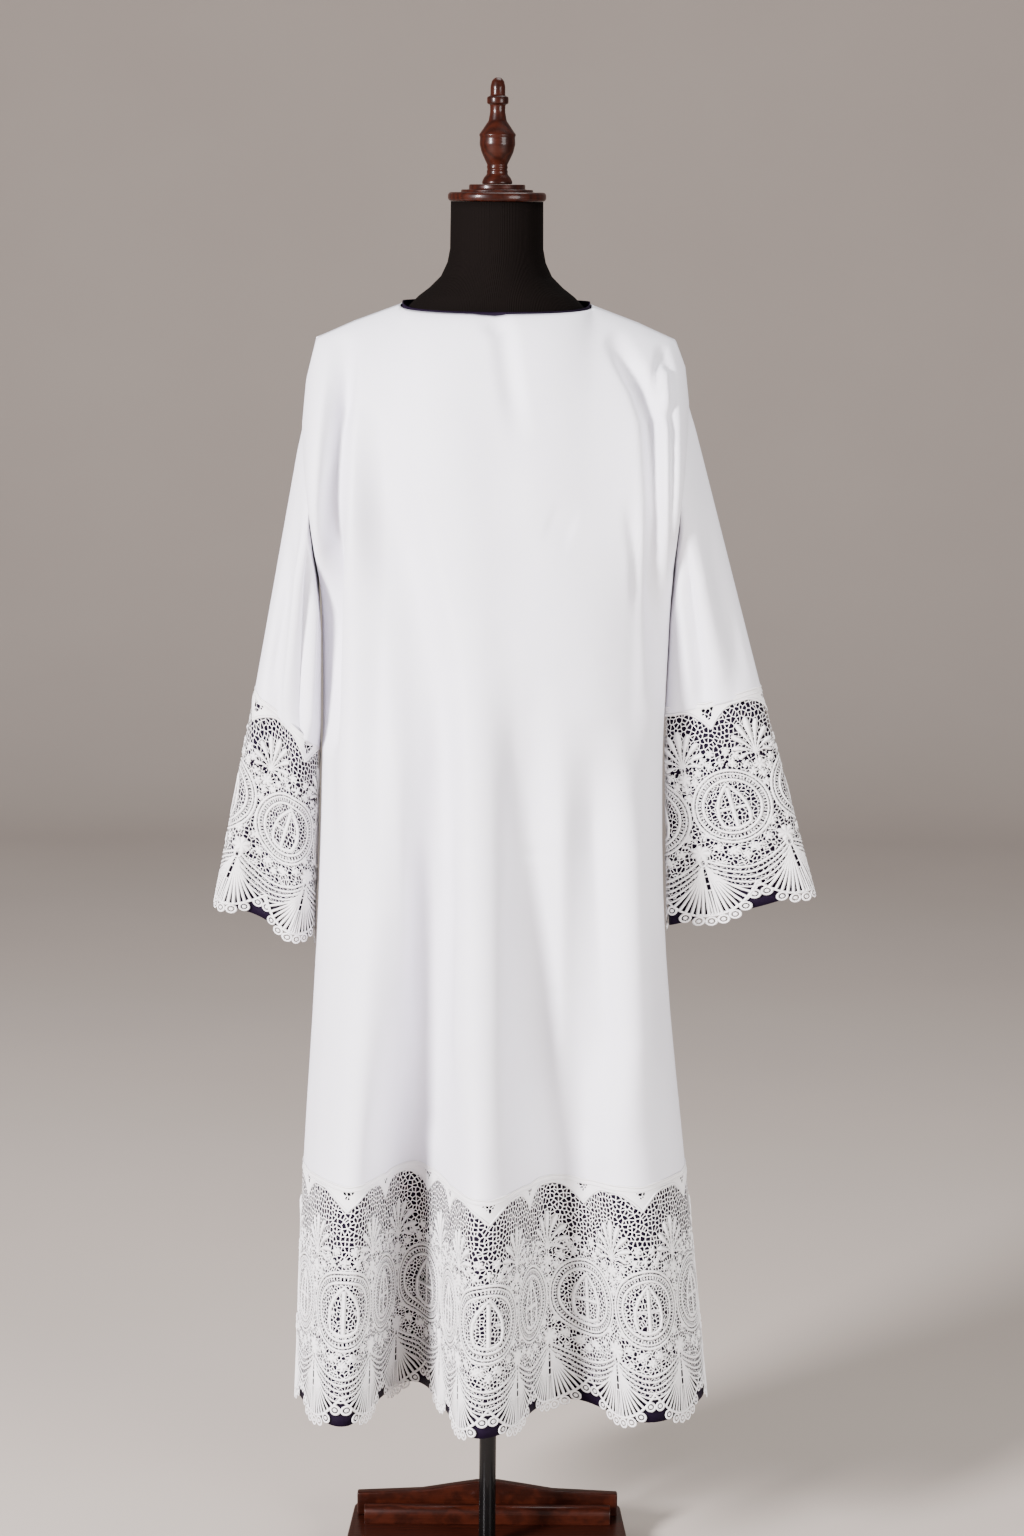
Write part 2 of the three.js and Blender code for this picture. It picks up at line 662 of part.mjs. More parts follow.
// The base: a board with rounded corners that narrows to the back, a rail and an arched back board
const BASE = { frontHalf: 186, backHalf: 170, front: -150, back: 150, corner: 18 };

function plinth() {
  const { frontHalf, backHalf, front, back, corner } = BASE;
  const shape = new THREE.Shape();
  shape.moveTo(-frontHalf + corner, front);
  shape.lineTo(frontHalf - corner, front);
  shape.quadraticCurveTo(frontHalf, front, frontHalf, front + corner);
  shape.lineTo(backHalf, back - corner);
  shape.quadraticCurveTo(backHalf, back, backHalf - corner, back);
  shape.lineTo(-backHalf + corner, back);
  shape.quadraticCurveTo(-backHalf, back, -backHalf, back - corner);
  shape.lineTo(-frontHalf, front + corner);
  shape.quadraticCurveTo(-frontHalf, front, -frontHalf + corner, front);
  return new THREE.ExtrudeGeometry(shape, { depth: PLINTH_TOP, bevelEnabled: false, curveSegments: 4 });
}
add('base_plinth', plinth(), materials.wood);

// A board that stands across the base, from its outline seen from the front
function standingBoard(shape, thick, y) {
  const geometry = new THREE.ExtrudeGeometry(shape, { depth: thick, bevelEnabled: false, curveSegments: 6 });
  geometry.rotateX(Math.PI / 2);
  geometry.translate(0, y, PLINTH_TOP + SEAM);
  return geometry;
}

const RAIL = { half: 156, radius: 11, y: 82 };
const BOARD = { half: 166, side: 30, shoulder: 34, peak: 46, thick: 14, y: 112 };

function rail() {
  const shape = new THREE.Shape();
  const { radius, half } = RAIL;
  shape.moveTo(-radius, 0);
  shape.lineTo(radius, 0);
  shape.lineTo(radius, radius);
  shape.absarc(0, radius, radius, 0, Math.PI, false);
  shape.lineTo(-radius, 0);
  const geometry = new THREE.ExtrudeGeometry(shape, { depth: half * 2, bevelEnabled: false, curveSegments: 8 });
  geometry.rotateX(Math.PI / 2);
  geometry.rotateZ(Math.PI / 2);
  geometry.translate(-half, RAIL.y, PLINTH_TOP + SEAM);
  return geometry;
}
add('base_rail', rail(), materials.wood);

function backBoard() {
  const shape = new THREE.Shape();
  shape.moveTo(-BOARD.half, 0);
  shape.lineTo(BOARD.half, 0);
  shape.lineTo(BOARD.half, BOARD.side);
  shape.lineTo(BOARD.half * 0.5, BOARD.shoulder);
  shape.quadraticCurveTo(BOARD.half * 0.14, BOARD.peak, 0, BOARD.peak);
  shape.quadraticCurveTo(-BOARD.half * 0.14, BOARD.peak, -BOARD.half * 0.5, BOARD.shoulder);
  shape.lineTo(-BOARD.half, BOARD.side);
  shape.lineTo(-BOARD.half, 0);
  return standingBoard(shape, BOARD.thick, BOARD.y);
}
add('base_back_board', backBoard(), materials.wood);

export default group;
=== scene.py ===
# %% [markdown]
# # A lace-trimmed alb on a dress form
# An alb is a long white cotton garment. This one hangs on a dress form with a wooden base. Its hem
# and cuffs end in deep lace over a dark violet lining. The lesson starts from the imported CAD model,
# which fixes every size and place, and gives each piece its finished shape and its material.

# %% The frame
import math

import bmesh
import bpy
import numpy as np
from mathutils import Matrix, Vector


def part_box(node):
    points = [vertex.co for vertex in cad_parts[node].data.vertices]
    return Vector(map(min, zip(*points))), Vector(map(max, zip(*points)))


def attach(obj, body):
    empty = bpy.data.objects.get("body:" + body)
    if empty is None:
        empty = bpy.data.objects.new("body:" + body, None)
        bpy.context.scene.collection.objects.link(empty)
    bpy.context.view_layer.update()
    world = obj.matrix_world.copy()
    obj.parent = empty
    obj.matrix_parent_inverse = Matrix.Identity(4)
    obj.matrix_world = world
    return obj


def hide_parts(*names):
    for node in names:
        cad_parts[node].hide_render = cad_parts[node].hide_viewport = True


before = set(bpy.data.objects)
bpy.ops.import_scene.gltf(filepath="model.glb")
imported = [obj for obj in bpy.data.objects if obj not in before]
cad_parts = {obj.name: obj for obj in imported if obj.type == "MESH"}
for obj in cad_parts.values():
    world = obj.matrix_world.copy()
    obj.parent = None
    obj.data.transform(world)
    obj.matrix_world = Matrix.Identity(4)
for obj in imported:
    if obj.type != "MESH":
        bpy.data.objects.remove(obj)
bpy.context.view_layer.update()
MM = 0.001

# %% [markdown]
# The camera stands at eye level, four metres in front of the alb, and looks down by ten degrees.
# A long lens keeps the garment's proportions. The small roll levels the camera to the stand, and
# the small shift leaves the stand a little left of the middle, as a quick portrait shot would.

# %% Camera
VIEW = {"distance": 4.0, "height": 1.7, "down": 9.7, "roll": 0.00754, "lens": 79.3, "shift": 0.0125}

camera_data = bpy.data.cameras.new("camera")
camera_data.lens = VIEW["lens"]
camera_data.shift_x = VIEW["shift"]
camera = bpy.data.objects.new("camera", camera_data)
bpy.context.scene.collection.objects.link(camera)
camera.matrix_world = (
    Matrix.Translation((0, -VIEW["distance"], VIEW["height"]))
    @ Matrix.Rotation(math.radians(90 - VIEW["down"]), 4, "X")
    @ Matrix.Rotation(VIEW["roll"], 4, "Z")
)
bpy.context.scene.camera = camera
print("camera lens", camera_data.lens, "mm")

# %% [markdown]
# ## The garment's form
# A garment on a form is a tube of cloth whose width and depth change with height. It could be draped
# by simulation, but here the folds are known, so a few short tables place them. All sizes are in
# millimetres, and a piece is scaled to metres when its mesh is made. These tables repeat the CAD
# model's values, apart from the few that the text names, so scene and solids share one shape.

# %% Sizes of the body
CHEST, LACE_TOP, LACE_FOOT = 1240, 532, 228
ROUNDNESS = 2.3
BODY = [
    {"z": 228, "left": 239, "right": 271, "front": 108, "back": 138},
    {"z": 540, "left": 228, "right": 238, "front": 106, "back": 130},
    {"z": 720, "left": 216, "right": 217, "front": 116, "back": 128},
    {"z": 860, "left": 209, "right": 206, "front": 122, "back": 122},
    {"z": 1000, "left": 205, "right": 203, "front": 124, "back": 118},
    {"z": 1120, "left": 204, "right": 203, "front": 122, "back": 114},
    {"z": 1240, "left": 207, "right": 209, "front": 118, "back": 112},
]
FOLD_HALF = 242
FOLD_HEIGHTS = [228, 540, 960, 1240, 1530]
FOLDS = [
    {"side": "front", "x": -186, "width": 36, "depths": [66, 36, 8, -4, 0]},
    {"side": "front", "x": -94, "width": 38, "depths": [-118, -92, -14, 5, 0]},
    {"side": "front", "x": -10, "width": 42, "depths": [72, 62, 12, 2, 0]},
    {"side": "front", "x": 84, "width": 36, "depths": [-62, -40, -6, -3, 0]},
    {"side": "front", "x": 184, "width": 38, "depths": [42, 30, 6, 3, 0]},
    {"side": "back", "x": -160, "width": 34, "depths": [36, 22, 8, 2, 0]},
    {"side": "back", "x": -84, "width": 30, "depths": [-40, -30, -10, -5, 0]},
    {"side": "back", "x": -6, "width": 36, "depths": [34, 24, 10, 4, 0]},
    {"side": "back", "x": 78, "width": 32, "depths": [-42, -32, -8, -4, 0]},
    {"side": "back", "x": 168, "width": 36, "depths": [40, 26, 6, 2, 0]},
]
NECK = {"share": 0.5, "half": 112, "front": 70, "back": 66, "z": 1568, "front_dip": 9, "back_rise": 4}
SHOULDER = [
    {"share": 0, "x": 112, "z": 1568},
    {"share": 0.4, "x": 166, "z": 1548},
    {"share": 0.7, "x": 211, "z": 1528},
    {"share": 0.88, "x": 223, "z": 1488},
    {"share": 1, "x": 228, "z": 1440},
]
SEAM_DROP = {"left": 14, "right": -14}
ARMHOLE_DEPTH = 70
print("folds:", len(FOLDS), "body heights:", len(BODY))

# %% [markdown]
# The body is a soft-cornered oval at each height. The tables are read with a little averaging, so a
# fold eases from one height to the next and the cloth has no crease where two rows meet. In front
# the neckline dips a few millimetres lower than in the solids, as a worn neckline does.

# %% The body's surface
EASE = 70


def mix(a, b, share):
    return a + (b - a) * share


def signed_power(value, exponent):
    return np.sign(value) * np.abs(value) ** exponent


def bell(t):
    return np.where(np.abs(t) < 2, 0.5 + 0.5 * np.cos(np.clip(t, -2, 2) * math.pi / 2), 0)


def column(table, key, at, name):
    return np.interp(at, [row[key] for row in table], [row[name] for row in table])


def eased(reading, z):
    reach = np.clip(z - LACE_FOOT, 0, EASE)
    return (reading(z - reach) + 2 * reading(z) + reading(z + reach)) / 4


def folds_at(share, z, side):
    out = np.zeros(np.broadcast(share, z).shape)
    for fold in FOLDS:
        if fold["side"] == side:
            depth = eased(lambda at: np.interp(at, FOLD_HEIGHTS, fold["depths"]), z)
            out = out + depth * bell((share * FOLD_HALF - fold["x"]) / fold["width"])
    return out


def body_points(turn, z):
    """Points at a turn round the body, 0 at the front and a quarter turn at the right seam."""
    turn, z = np.broadcast_arrays(np.asarray(turn, float), np.asarray(z, float))
    across = signed_power(np.sin(turn), 2 / ROUNDNESS)
    along = signed_power(np.cos(turn), 2 / ROUNDNESS)
    read = {name: eased(lambda at: column(BODY, "z", at, name), z) for name in ("left", "right", "front", "back")}
    x = across * np.where(across < 0, read["left"], read["right"])
    fade = np.minimum(1, np.abs(along) * 2.2)
    front = np.abs(along) * read["front"] + fade * folds_at(across, z, "front")
    back = np.abs(along) * read["back"] + fade * folds_at(across, z, "back")
    return np.stack([x, np.where(along >= 0, -front, back), z], -1)


def top_edge(share, front):
    """The neckline, then the shoulder out to the sleeve's seam."""
    reach = np.abs(share)
    around = np.minimum(reach / NECK["share"], 1) * math.pi / 2
    out = np.clip((reach - NECK["share"]) / (1 - NECK["share"]), 0, 1)
    drop = np.cos(around)
    at_neck = reach <= NECK["share"]
    seam = np.clip((out - 0.7) / 0.3, 0, None) * np.where(share < 0, SEAM_DROP["left"], SEAM_DROP["right"])
    x = np.where(at_neck, NECK["half"] * np.sin(around), column(SHOULDER, "share", out, "x"))
    y = np.where(at_neck, np.where(front, -NECK["front"], NECK["back"]) * drop, 0)
    dip = np.where(front, NECK["front_dip"] * np.clip(drop, 0, 1) ** 0.45, -NECK["back_rise"] * drop)
    z = np.where(at_neck, NECK["z"] - dip, column(SHOULDER, "share", out, "z") - seam)
    return np.stack([np.sign(share) * x, y, z], -1)


def upper_points(turn, row):
    """Points between the top edge, row 0, and the chest, row 1."""
    turn, row = np.broadcast_arrays(np.asarray(turn, float), np.asarray(row, float))
    share = signed_power(np.sin(turn), 2 / ROUNDNESS)
    front = np.cos(turn) >= 0
    top, foot = top_edge(share, front), body_points(turn, np.full(turn.shape, float(CHEST)))
    arch = (1 - (1 - row) ** 4) ** 0.6
    hollow = np.sin(math.pi * row) ** 0.8 * ARMHOLE_DEPTH * np.abs(share) ** 6
    y = mix(top[..., 1], foot[..., 1], arch) + np.where(front, -hollow, hollow)
    return np.stack([mix(top[..., 0], foot[..., 0], row), y, mix(top[..., 2], foot[..., 2], row)], -1)


chest_width = body_points(math.pi / 2, CHEST)[0] - body_points(-math.pi / 2, CHEST)[0]
print("width at the chest:", round(float(chest_width)), "mm")

# %% [markdown]
# Lace isn't stretched when it is sewn on, so its pattern has to be spaced evenly along the cloth, in
# and out of the folds. The distance round the hem is measured once in small steps, and every piece
# looks up the turn that belongs to a distance. Ten repeats fit the front and eight the back.

# %% Distance along the hem
PITCH = 94.5
FRONT_REPEATS, BACK_REPEATS, CUFF_REPEATS = 10, 8, 24 / 7
SHORT = 1e-6
PANELS = {
    "front": (-math.pi / 2 + SHORT, math.pi / 2 - SHORT, 0, FRONT_REPEATS),
    "back": (math.pi / 2 + SHORT, 1.5 * math.pi - SHORT, FRONT_REPEATS, FRONT_REPEATS + BACK_REPEATS),
}


def distances(line):
    """How far each point of a line is from its start."""
    return np.concatenate([[0], np.cumsum(np.linalg.norm(np.diff(line, axis=0), axis=1))])


def even_turns(points, start, end):
    """The turns of a fine line of points, how far along it each one is, and its whole length."""
    turns = np.linspace(start, end, 2401)
    lengths = distances(points(turns))
    return turns, lengths / lengths[-1], lengths[-1]


measured = {
    side: even_turns(lambda turn: body_points(turn, mix(LACE_TOP, LACE_FOOT, 0.5)), *PANELS[side][:2])
    for side in PANELS
}
ring_repeats = np.concatenate([mix(*PANELS[side][2:], measured[side][1]) for side in PANELS])
ring_turns = np.concatenate([measured[side][0] for side in PANELS])
HEM_REPEATS = FRONT_REPEATS + BACK_REPEATS


def hem_turn(repeat):
    """The turn round the body at a number of repeats from the left seam, over the front."""
    laps = np.floor(repeat / HEM_REPEATS)
    return np.interp(repeat - laps * HEM_REPEATS, ring_repeats, ring_turns) + laps * 2 * math.pi


def hem_surface(repeat, height):
    """height is measured up from the lowest points of the lace."""
    return body_points(hem_turn(repeat), LACE_FOOT + height)


print("lace, front and back:", [round(float(measured[side][2])) for side in PANELS], "mm")

# %% [markdown]
# A sleeve ends in a flattened oval that leans outwards, since the arm of an empty garment hangs
# from the shoulder. Each sleeve has its own table, for its wider or narrower cuff and its own folds.
# The inner side hangs a few millimetres nearer to the body than in the solids, as loose cloth does.
# The cuff's lace leans a little, which "lean" gives as a share, and is worked a little shorter.

# %% The cuffs' surface
SLEEVES = {
    "left": {
        "lean": -0.22, "short": 0.92, "fans": [-2.463, -1.463, -0.463, 0.537, 1.537],
        "top": {"outX": 284, "outZ": 1114, "inX": 206.6, "inZ": 1050, "depth": 50},
        "edge": {"outX": 336, "outZ": 846, "inX": 214, "inZ": 800, "depth": 44},
        "folds": [(1.35, 0.42, -26), (2.1, 0.4, 12), (4.4, 0.5, -12)],
    },
    "right": {
        "lean": 0.15, "short": 0.89, "fans": [-2.334, -1.334, -0.334, 0.666, 1.666],
        "top": {"outX": 318, "outZ": 1122, "inX": 205.2, "inZ": 1094, "depth": 34},
        "edge": {"outX": 391, "outZ": 862, "inX": 212, "inZ": 814, "depth": 27},
        "folds": [(2.2, 0.45, -9), (1.2, 0.5, 5), (4.9, 0.5, -8)],
    },
}


def cuff_points(hand, turn, drop):
    """turn is 0 on the outer side, and drop runs from 0 at the lace's top to 1 at its edge."""
    sleeve = SLEEVES[hand]
    turn, drop = np.broadcast_arrays(np.asarray(turn, float), np.asarray(drop, float))
    read = {name: mix(sleeve["top"][name], sleeve["edge"][name], drop) for name in sleeve["top"]}
    depth = read["depth"]
    front_turn = np.mod(turn if hand == "left" else -turn, 2 * math.pi)
    for place, width, fold in sleeve["folds"]:
        depth = depth + fold * mix(0.5, 1, drop) * bell((front_turn - place) / width)
    outward = (np.cos(turn) + 1) / 2
    side = -1 if hand == "left" else 1
    x = side * mix(read["inX"], read["outX"], outward)
    y = side * signed_power(np.sin(turn), 0.9) * depth
    return np.stack([x, y, mix(read["inZ"], read["outZ"], outward)], -1)


cuff_measured = {
    hand: even_turns(lambda turn: cuff_points(hand, turn, np.full(turn.shape, 0.5)), 0, 2 * math.pi)
    for hand in SLEEVES
}
CUFF_TALL = {hand: SLEEVES[hand]["top"]["outZ"] - SLEEVES[hand]["edge"]["outZ"] for hand in SLEEVES}


def cuff_surface(hand):
    turns, shares, length = cuff_measured[hand]

    def surface(repeat, height):
        laps = np.floor(repeat / CUFF_REPEATS)
        turn = np.interp(repeat / CUFF_REPEATS - laps, shares, turns)
        return cuff_points(hand, turn, 1 - height / CUFF_TALL[hand])

    return surface


print("round the cuffs:", {hand: round(float(cuff_measured[hand][2])) for hand in SLEEVES}, "mm")

# %% [markdown]
# ## Cloth
# Every cloth piece starts as a flat grid, as a length of cloth does, and each point of the grid is
# then moved to its place. The grid keeps a UV map with the cloth's real lengths in metres, so a
# weave has its true size and follows the folds. Solidify gives the cloth its thickness.

# %% Mesh helpers
materials_wanted = {}


def link(name, mesh, material_name):
    piece = bpy.data.objects.new(name, mesh)
    bpy.context.scene.collection.objects.link(piece)
    mesh.shade_smooth()
    materials_wanted[piece.name] = material_name
    return piece


def made(name, work, material_name):
    """A bmesh with its faces turned outwards, made into a piece."""
    bmesh.ops.recalc_face_normals(work, faces=work.faces)
    mesh = bpy.data.meshes.new(name)
    work.to_mesh(mesh)
    work.free()
    return link(name, mesh, material_name)


def verts_of(geometry):
    return [item for item in geometry if isinstance(item, bmesh.types.BMVert)]


def places_of(mesh):
    places = np.empty(len(mesh.vertices) * 3)
    mesh.vertices.foreach_get("co", places)
    return places.reshape(-1, 3)


def move_to(mesh, points):
    """Moves each vertex to its point, given in mm."""
    mesh.vertices.foreach_set("co", (points * MM).ravel())


def keep_cut(mesh, cut):
    """Stores each vertex's place on the flat cloth, given in mm, as a UV map."""
    corners = np.empty(len(mesh.loops), int)
    mesh.loops.foreach_get("vertex_index", corners)
    layer = mesh.uv_layers.new(name="cut")
    layer.data.foreach_set("uv", (cut * MM)[corners].ravel())


print("mesh helpers are ready")

# %% [markdown]
# Four more helpers are for cloth alone: the real lengths along a grid, its outward directions, the
# grid itself, which is made flat and then takes its points, and its thickness.

# %% Cloth helpers
CLOTH_WALL, LINING_WALL = 1.1, 0.9
CLOTH_INSET = 0.2
SEAM_DEPTH = 1.1


def lengths_of(points):
    """How far each grid point is along its row and down its column."""
    across = np.linalg.norm(np.diff(points, axis=1), axis=2)
    down = np.linalg.norm(np.diff(points, axis=0), axis=2)
    u = np.concatenate([np.zeros((len(points), 1)), np.cumsum(across, 1)], 1)
    v = np.concatenate([np.zeros((1, points.shape[1])), np.cumsum(down, 0)], 0)
    return np.stack([u - u.mean(1, keepdims=True), -v], -1)


def normals_of(points, closed=False):
    """Outward directions of a grid whose columns run rightwards and rows run down."""
    if closed:
        wrapped = np.concatenate([points[:, -2:-1], points, points[:, 1:2]], 1)
        across = np.gradient(wrapped, axis=1)[:, 1:-1]
    else:
        across = np.gradient(points, axis=1)
    up = -np.gradient(points, axis=0)
    normal = np.cross(across, up)
    return normal / np.maximum(np.linalg.norm(normal, axis=2, keepdims=True), 1e-9)


def grid_piece(name, points, material_name, cut=None, masks=None, closed=False, keep=None):
    """A grid of points in mm made into a piece. Rows run down, and columns run rightwards."""
    rows, columns = points.shape[:2]
    cut = lengths_of(points) if cut is None else cut
    sheet = bmesh.new()
    bmesh.ops.create_grid(sheet, x_segments=columns - 1, y_segments=rows - 1, size=1)
    mesh = bpy.data.meshes.new(name)
    sheet.to_mesh(mesh)
    flat = places_of(mesh)
    across = np.rint((flat[:, 0] + 1) / 2 * (columns - 1)).astype(int)
    down = np.rint((1 - flat[:, 1]) / 2 * (rows - 1)).astype(int)
    move_to(mesh, points[down, across])
    keep_cut(mesh, cut[down, across])
    for label, values in (masks or {}).items():
        attribute = mesh.attributes.new(label, "FLOAT", "POINT")
        attribute.data.foreach_set("value", values[down, across].ravel())
    sheet.clear()
    sheet.from_mesh(mesh)
    if keep is not None:
        sheet.verts.ensure_lookup_table()
        wanted = keep[down, across]
        holes = [face for face in sheet.faces if not any(wanted[v.index] for v in face.verts)]
        bmesh.ops.delete(sheet, geom=holes, context="FACES")
    if closed:
        bmesh.ops.remove_doubles(sheet, verts=sheet.verts, dist=1e-6)
    sheet.to_mesh(mesh)
    sheet.free()
    return link(name, mesh, material_name)


def thicken(piece, thickness):
    wall = piece.modifiers.new("thickness", "SOLIDIFY")
    wall.thickness = thickness * MM
    wall.offset = -1
    return piece


print("cloth helpers are ready")

# %% [markdown]
# A pressed cotton garment still shows where it was folded and how it is pulled. These creases are
# fine: each is a path across the front, in x and z, with a depth and a half-width. A longer soft
# valley runs down from the shoulder where the cloth passes from the form's chest to the arm.

# %% Creases
RELIEF = 1.8
CREASES = {
    "front": [
        ([(-176, 1515), (-183, 1420), (-188, 1270), (-190, 1060)], -17, 11),
        ([(-162, 1425), (-160, 1180), (-162, 900)], 9, 16),
        ([(-140, 1400), (-110, 1290), (-84, 1180), (-70, 1040), (-68, 860), (-69, 600)], -11, 24),
        ([(-104, 1140), (-108, 900), (-112, 620)], 6, 24),
        ([(-24, 1180), (-20, 900), (-16, 600)], 9, 26),
        ([(36, 1120), (40, 880), (46, 600)], -6, 22),
        ([(82, 1040), (84, 820), (86, 620)], 5, 20),
        ([(118, 1060), (124, 840), (128, 600)], -9, 22),
        ([(160, 1000), (168, 820), (176, 620)], 6, 20),
        ([(140, 1524), (167, 1480), (181, 1440), (186, 1330), (188, 1120)], -13, 9),
        ([(194, 1518), (186, 1492), (190, 1462), (202, 1438)], -3.5, 4),
        ([(194, 1518), (204, 1490), (206, 1440), (204, 1260)], -4, 4),
        ([(197, 1500), (198, 1450)], 3, 7),
        ([(155, 1340), (165, 1280), (168, 1220)], -3, 6),
        ([(58, 1326), (92, 1312)], -1.5, 16),
        ([(-10, 1556), (8, 1540), (14, 1500), (26, 1430)], -4, 10),
        ([(186, 1420), (190, 1250), (184, 1050)], 5, 14),
        ([(-52, 1470), (-30, 1300), (-36, 1150)], 4, 34),
        ([(60, 1450), (76, 1250), (70, 1000)], 4, 40),
        ([(-100, 1104), (50, 1096)], -0.9, 3),
        ([(-122, 1000), (-26, 948), (142, 918)], -1, 3.5),
        ([(-46, 772), (128, 764)], -0.9, 3),
    ],
    "back": [
        ([(-178, 1500), (-188, 1300), (-186, 1060)], -10, 13),
        ([(178, 1500), (186, 1280), (184, 1080)], -9, 12),
        ([(-120, 1380), (-90, 1200), (-78, 960), (-74, 600)], -10, 23),
        ([(110, 1340), (88, 1160), (78, 940), (74, 600)], -10, 22),
        ([(-44, 1160), (-40, 900), (-40, 620)], -5, 20),
        ([(150, 1080), (150, 860), (154, 620)], -6, 20),
        ([(-148, 1080), (-150, 860), (-152, 620)], 6, 22),
        ([(-6, 1550), (0, 1420)], -3.5, 9),
        ([(-2, 1180), (0, 900), (-2, 600)], 8, 26),
        ([(44, 1460), (38, 1240)], 4, 34),
        ([(-90, 1090), (84, 1098)], -0.7, 3),
        ([(-60, 770), (110, 776)], -0.7, 3),
    ],
}


def crease_depth(points, creases):
    """How far each point is pushed out or in by the creases near it, in x and z."""
    place = points[..., [0, 2]]
    total = np.zeros(points.shape[:-1])
    for path, depth, width in creases:
        nearest = np.full(points.shape[:-1], 1e9)
        along = np.zeros(points.shape[:-1])
        for k, (a, b) in enumerate(zip(path[:-1], path[1:])):
            a, b = np.array(a, float), np.array(b, float)
            share = np.clip(((place - a) @ (b - a)) / ((b - a) @ (b - a)), 0, 1)
            away = np.linalg.norm(place - a - share[..., None] * (b - a), axis=-1)
            closer = away < nearest
            nearest = np.where(closer, away, nearest)
            along = np.where(closer, (k + share) / (len(path) - 1), along)
        ends = np.clip(np.minimum(along, 1 - along) * 5, 0, 1)
        total += RELIEF * depth * (0.25 + 0.75 * ends) * bell(nearest / width)
    return total


print("creases:", {side: len(rows) for side, rows in CREASES.items()})

# %% [markdown]
# The front and the back are one panel each, from the shoulder down behind the lace's solid top band.
# Along a side seam and round an armhole the cloth turns in a little, which is what makes a seam show
# as a fine line. The chest is smoothed sideways, so that the shoulder's table leaves no kink in it.

# %% Front and back
CLOTH_ROWS = {"upper": 56, "lower": 90}
SEAM_WIDTH, CREASES_FROM_SEAM = 5, 20
BEHIND_BAND = 8
SMOOTHED = {"sideways": 36, "down": 40, "from_z": 1020, "fully_over": 150, "round_chest": 60}


def smoothed(points, axis, passes, weight):
    """Averages each grid point with its neighbours along one axis, as far as its weight says."""
    points = np.moveaxis(points, axis, 0)
    weight = np.moveaxis(weight, axis, 0)[1:-1, :, None]
    for _ in range(passes):
        between = (points[:-2] + points[2:]) / 2
        points = np.concatenate([points[:1], mix(points[1:-1], between, 0.5 * weight), points[-1:]])
    return np.moveaxis(points, 0, axis)


def panel_points(side, repeats):
    turn = hem_turn(repeats)
    rows = np.linspace(0, 1, CLOTH_ROWS["upper"])[:-1, None] ** 1.25
    upper = upper_points(turn[None, :], rows)
    shares = np.linspace(0, 1, CLOTH_ROWS["lower"])[:, None]
    lower = body_points(turn[None, :], mix(CHEST, LACE_TOP - BEHIND_BAND, shares))
    points = np.concatenate([upper, lower], 0)
    from_side = np.minimum(np.arange(len(repeats)), np.arange(len(repeats))[::-1])[None, :]
    row = np.arange(len(points))[:, None]
    inner = np.clip((from_side - 3) / 8, 0, 1)
    z = points[..., 2]
    sideways = inner * np.clip(row / 10, 0, 1) * np.clip((z - SMOOTHED["from_z"]) / SMOOTHED["fully_over"], 0, 1)
    down = np.clip(from_side / 3, 0, 1) * np.clip(1.6 - np.abs(z - CHEST) / SMOOTHED["round_chest"], 0, 1)
    points = smoothed(points, 1, SMOOTHED["sideways"], sideways)
    return smoothed(points, 0, SMOOTHED["down"], down * (row > 6))


def alb_panel(side, columns):
    start, end = PANELS[side][2:]
    repeats = np.linspace(start + 1e-4, end - 1e-4, columns)
    points = panel_points(side, repeats)
    normals = normals_of(points)
    depth = crease_depth(points, CREASES[side])
    edge = np.minimum(np.arange(columns), np.arange(columns)[::-1]) * (measured[side][2] / columns)
    turned = -SEAM_DEPTH * bell(edge / SEAM_WIDTH)[None, :] * np.ones((len(points), 1))
    fade = np.clip(edge / CREASES_FROM_SEAM, 0, 1)[None, :]
    points = points + normals * (depth * fade + turned - CLOTH_INSET)[..., None]
    return thicken(grid_piece(f"{side}_panel", points, "cloth"), CLOTH_WALL)


panels = {side: alb_panel(side, columns) for side, columns in (("front", 170), ("back", 150))}
print("panels:", [len(piece.data.polygons) for piece in panels.values()], "faces")

# %% [markdown]
# A sleeve is set into the armhole that the two panels leave. Its upper edge is that ring of points,
# spread evenly, and each column of its grid runs from there to the lace. A few long folds run down
# the arm, deepest where the sleeve hangs beside the body.

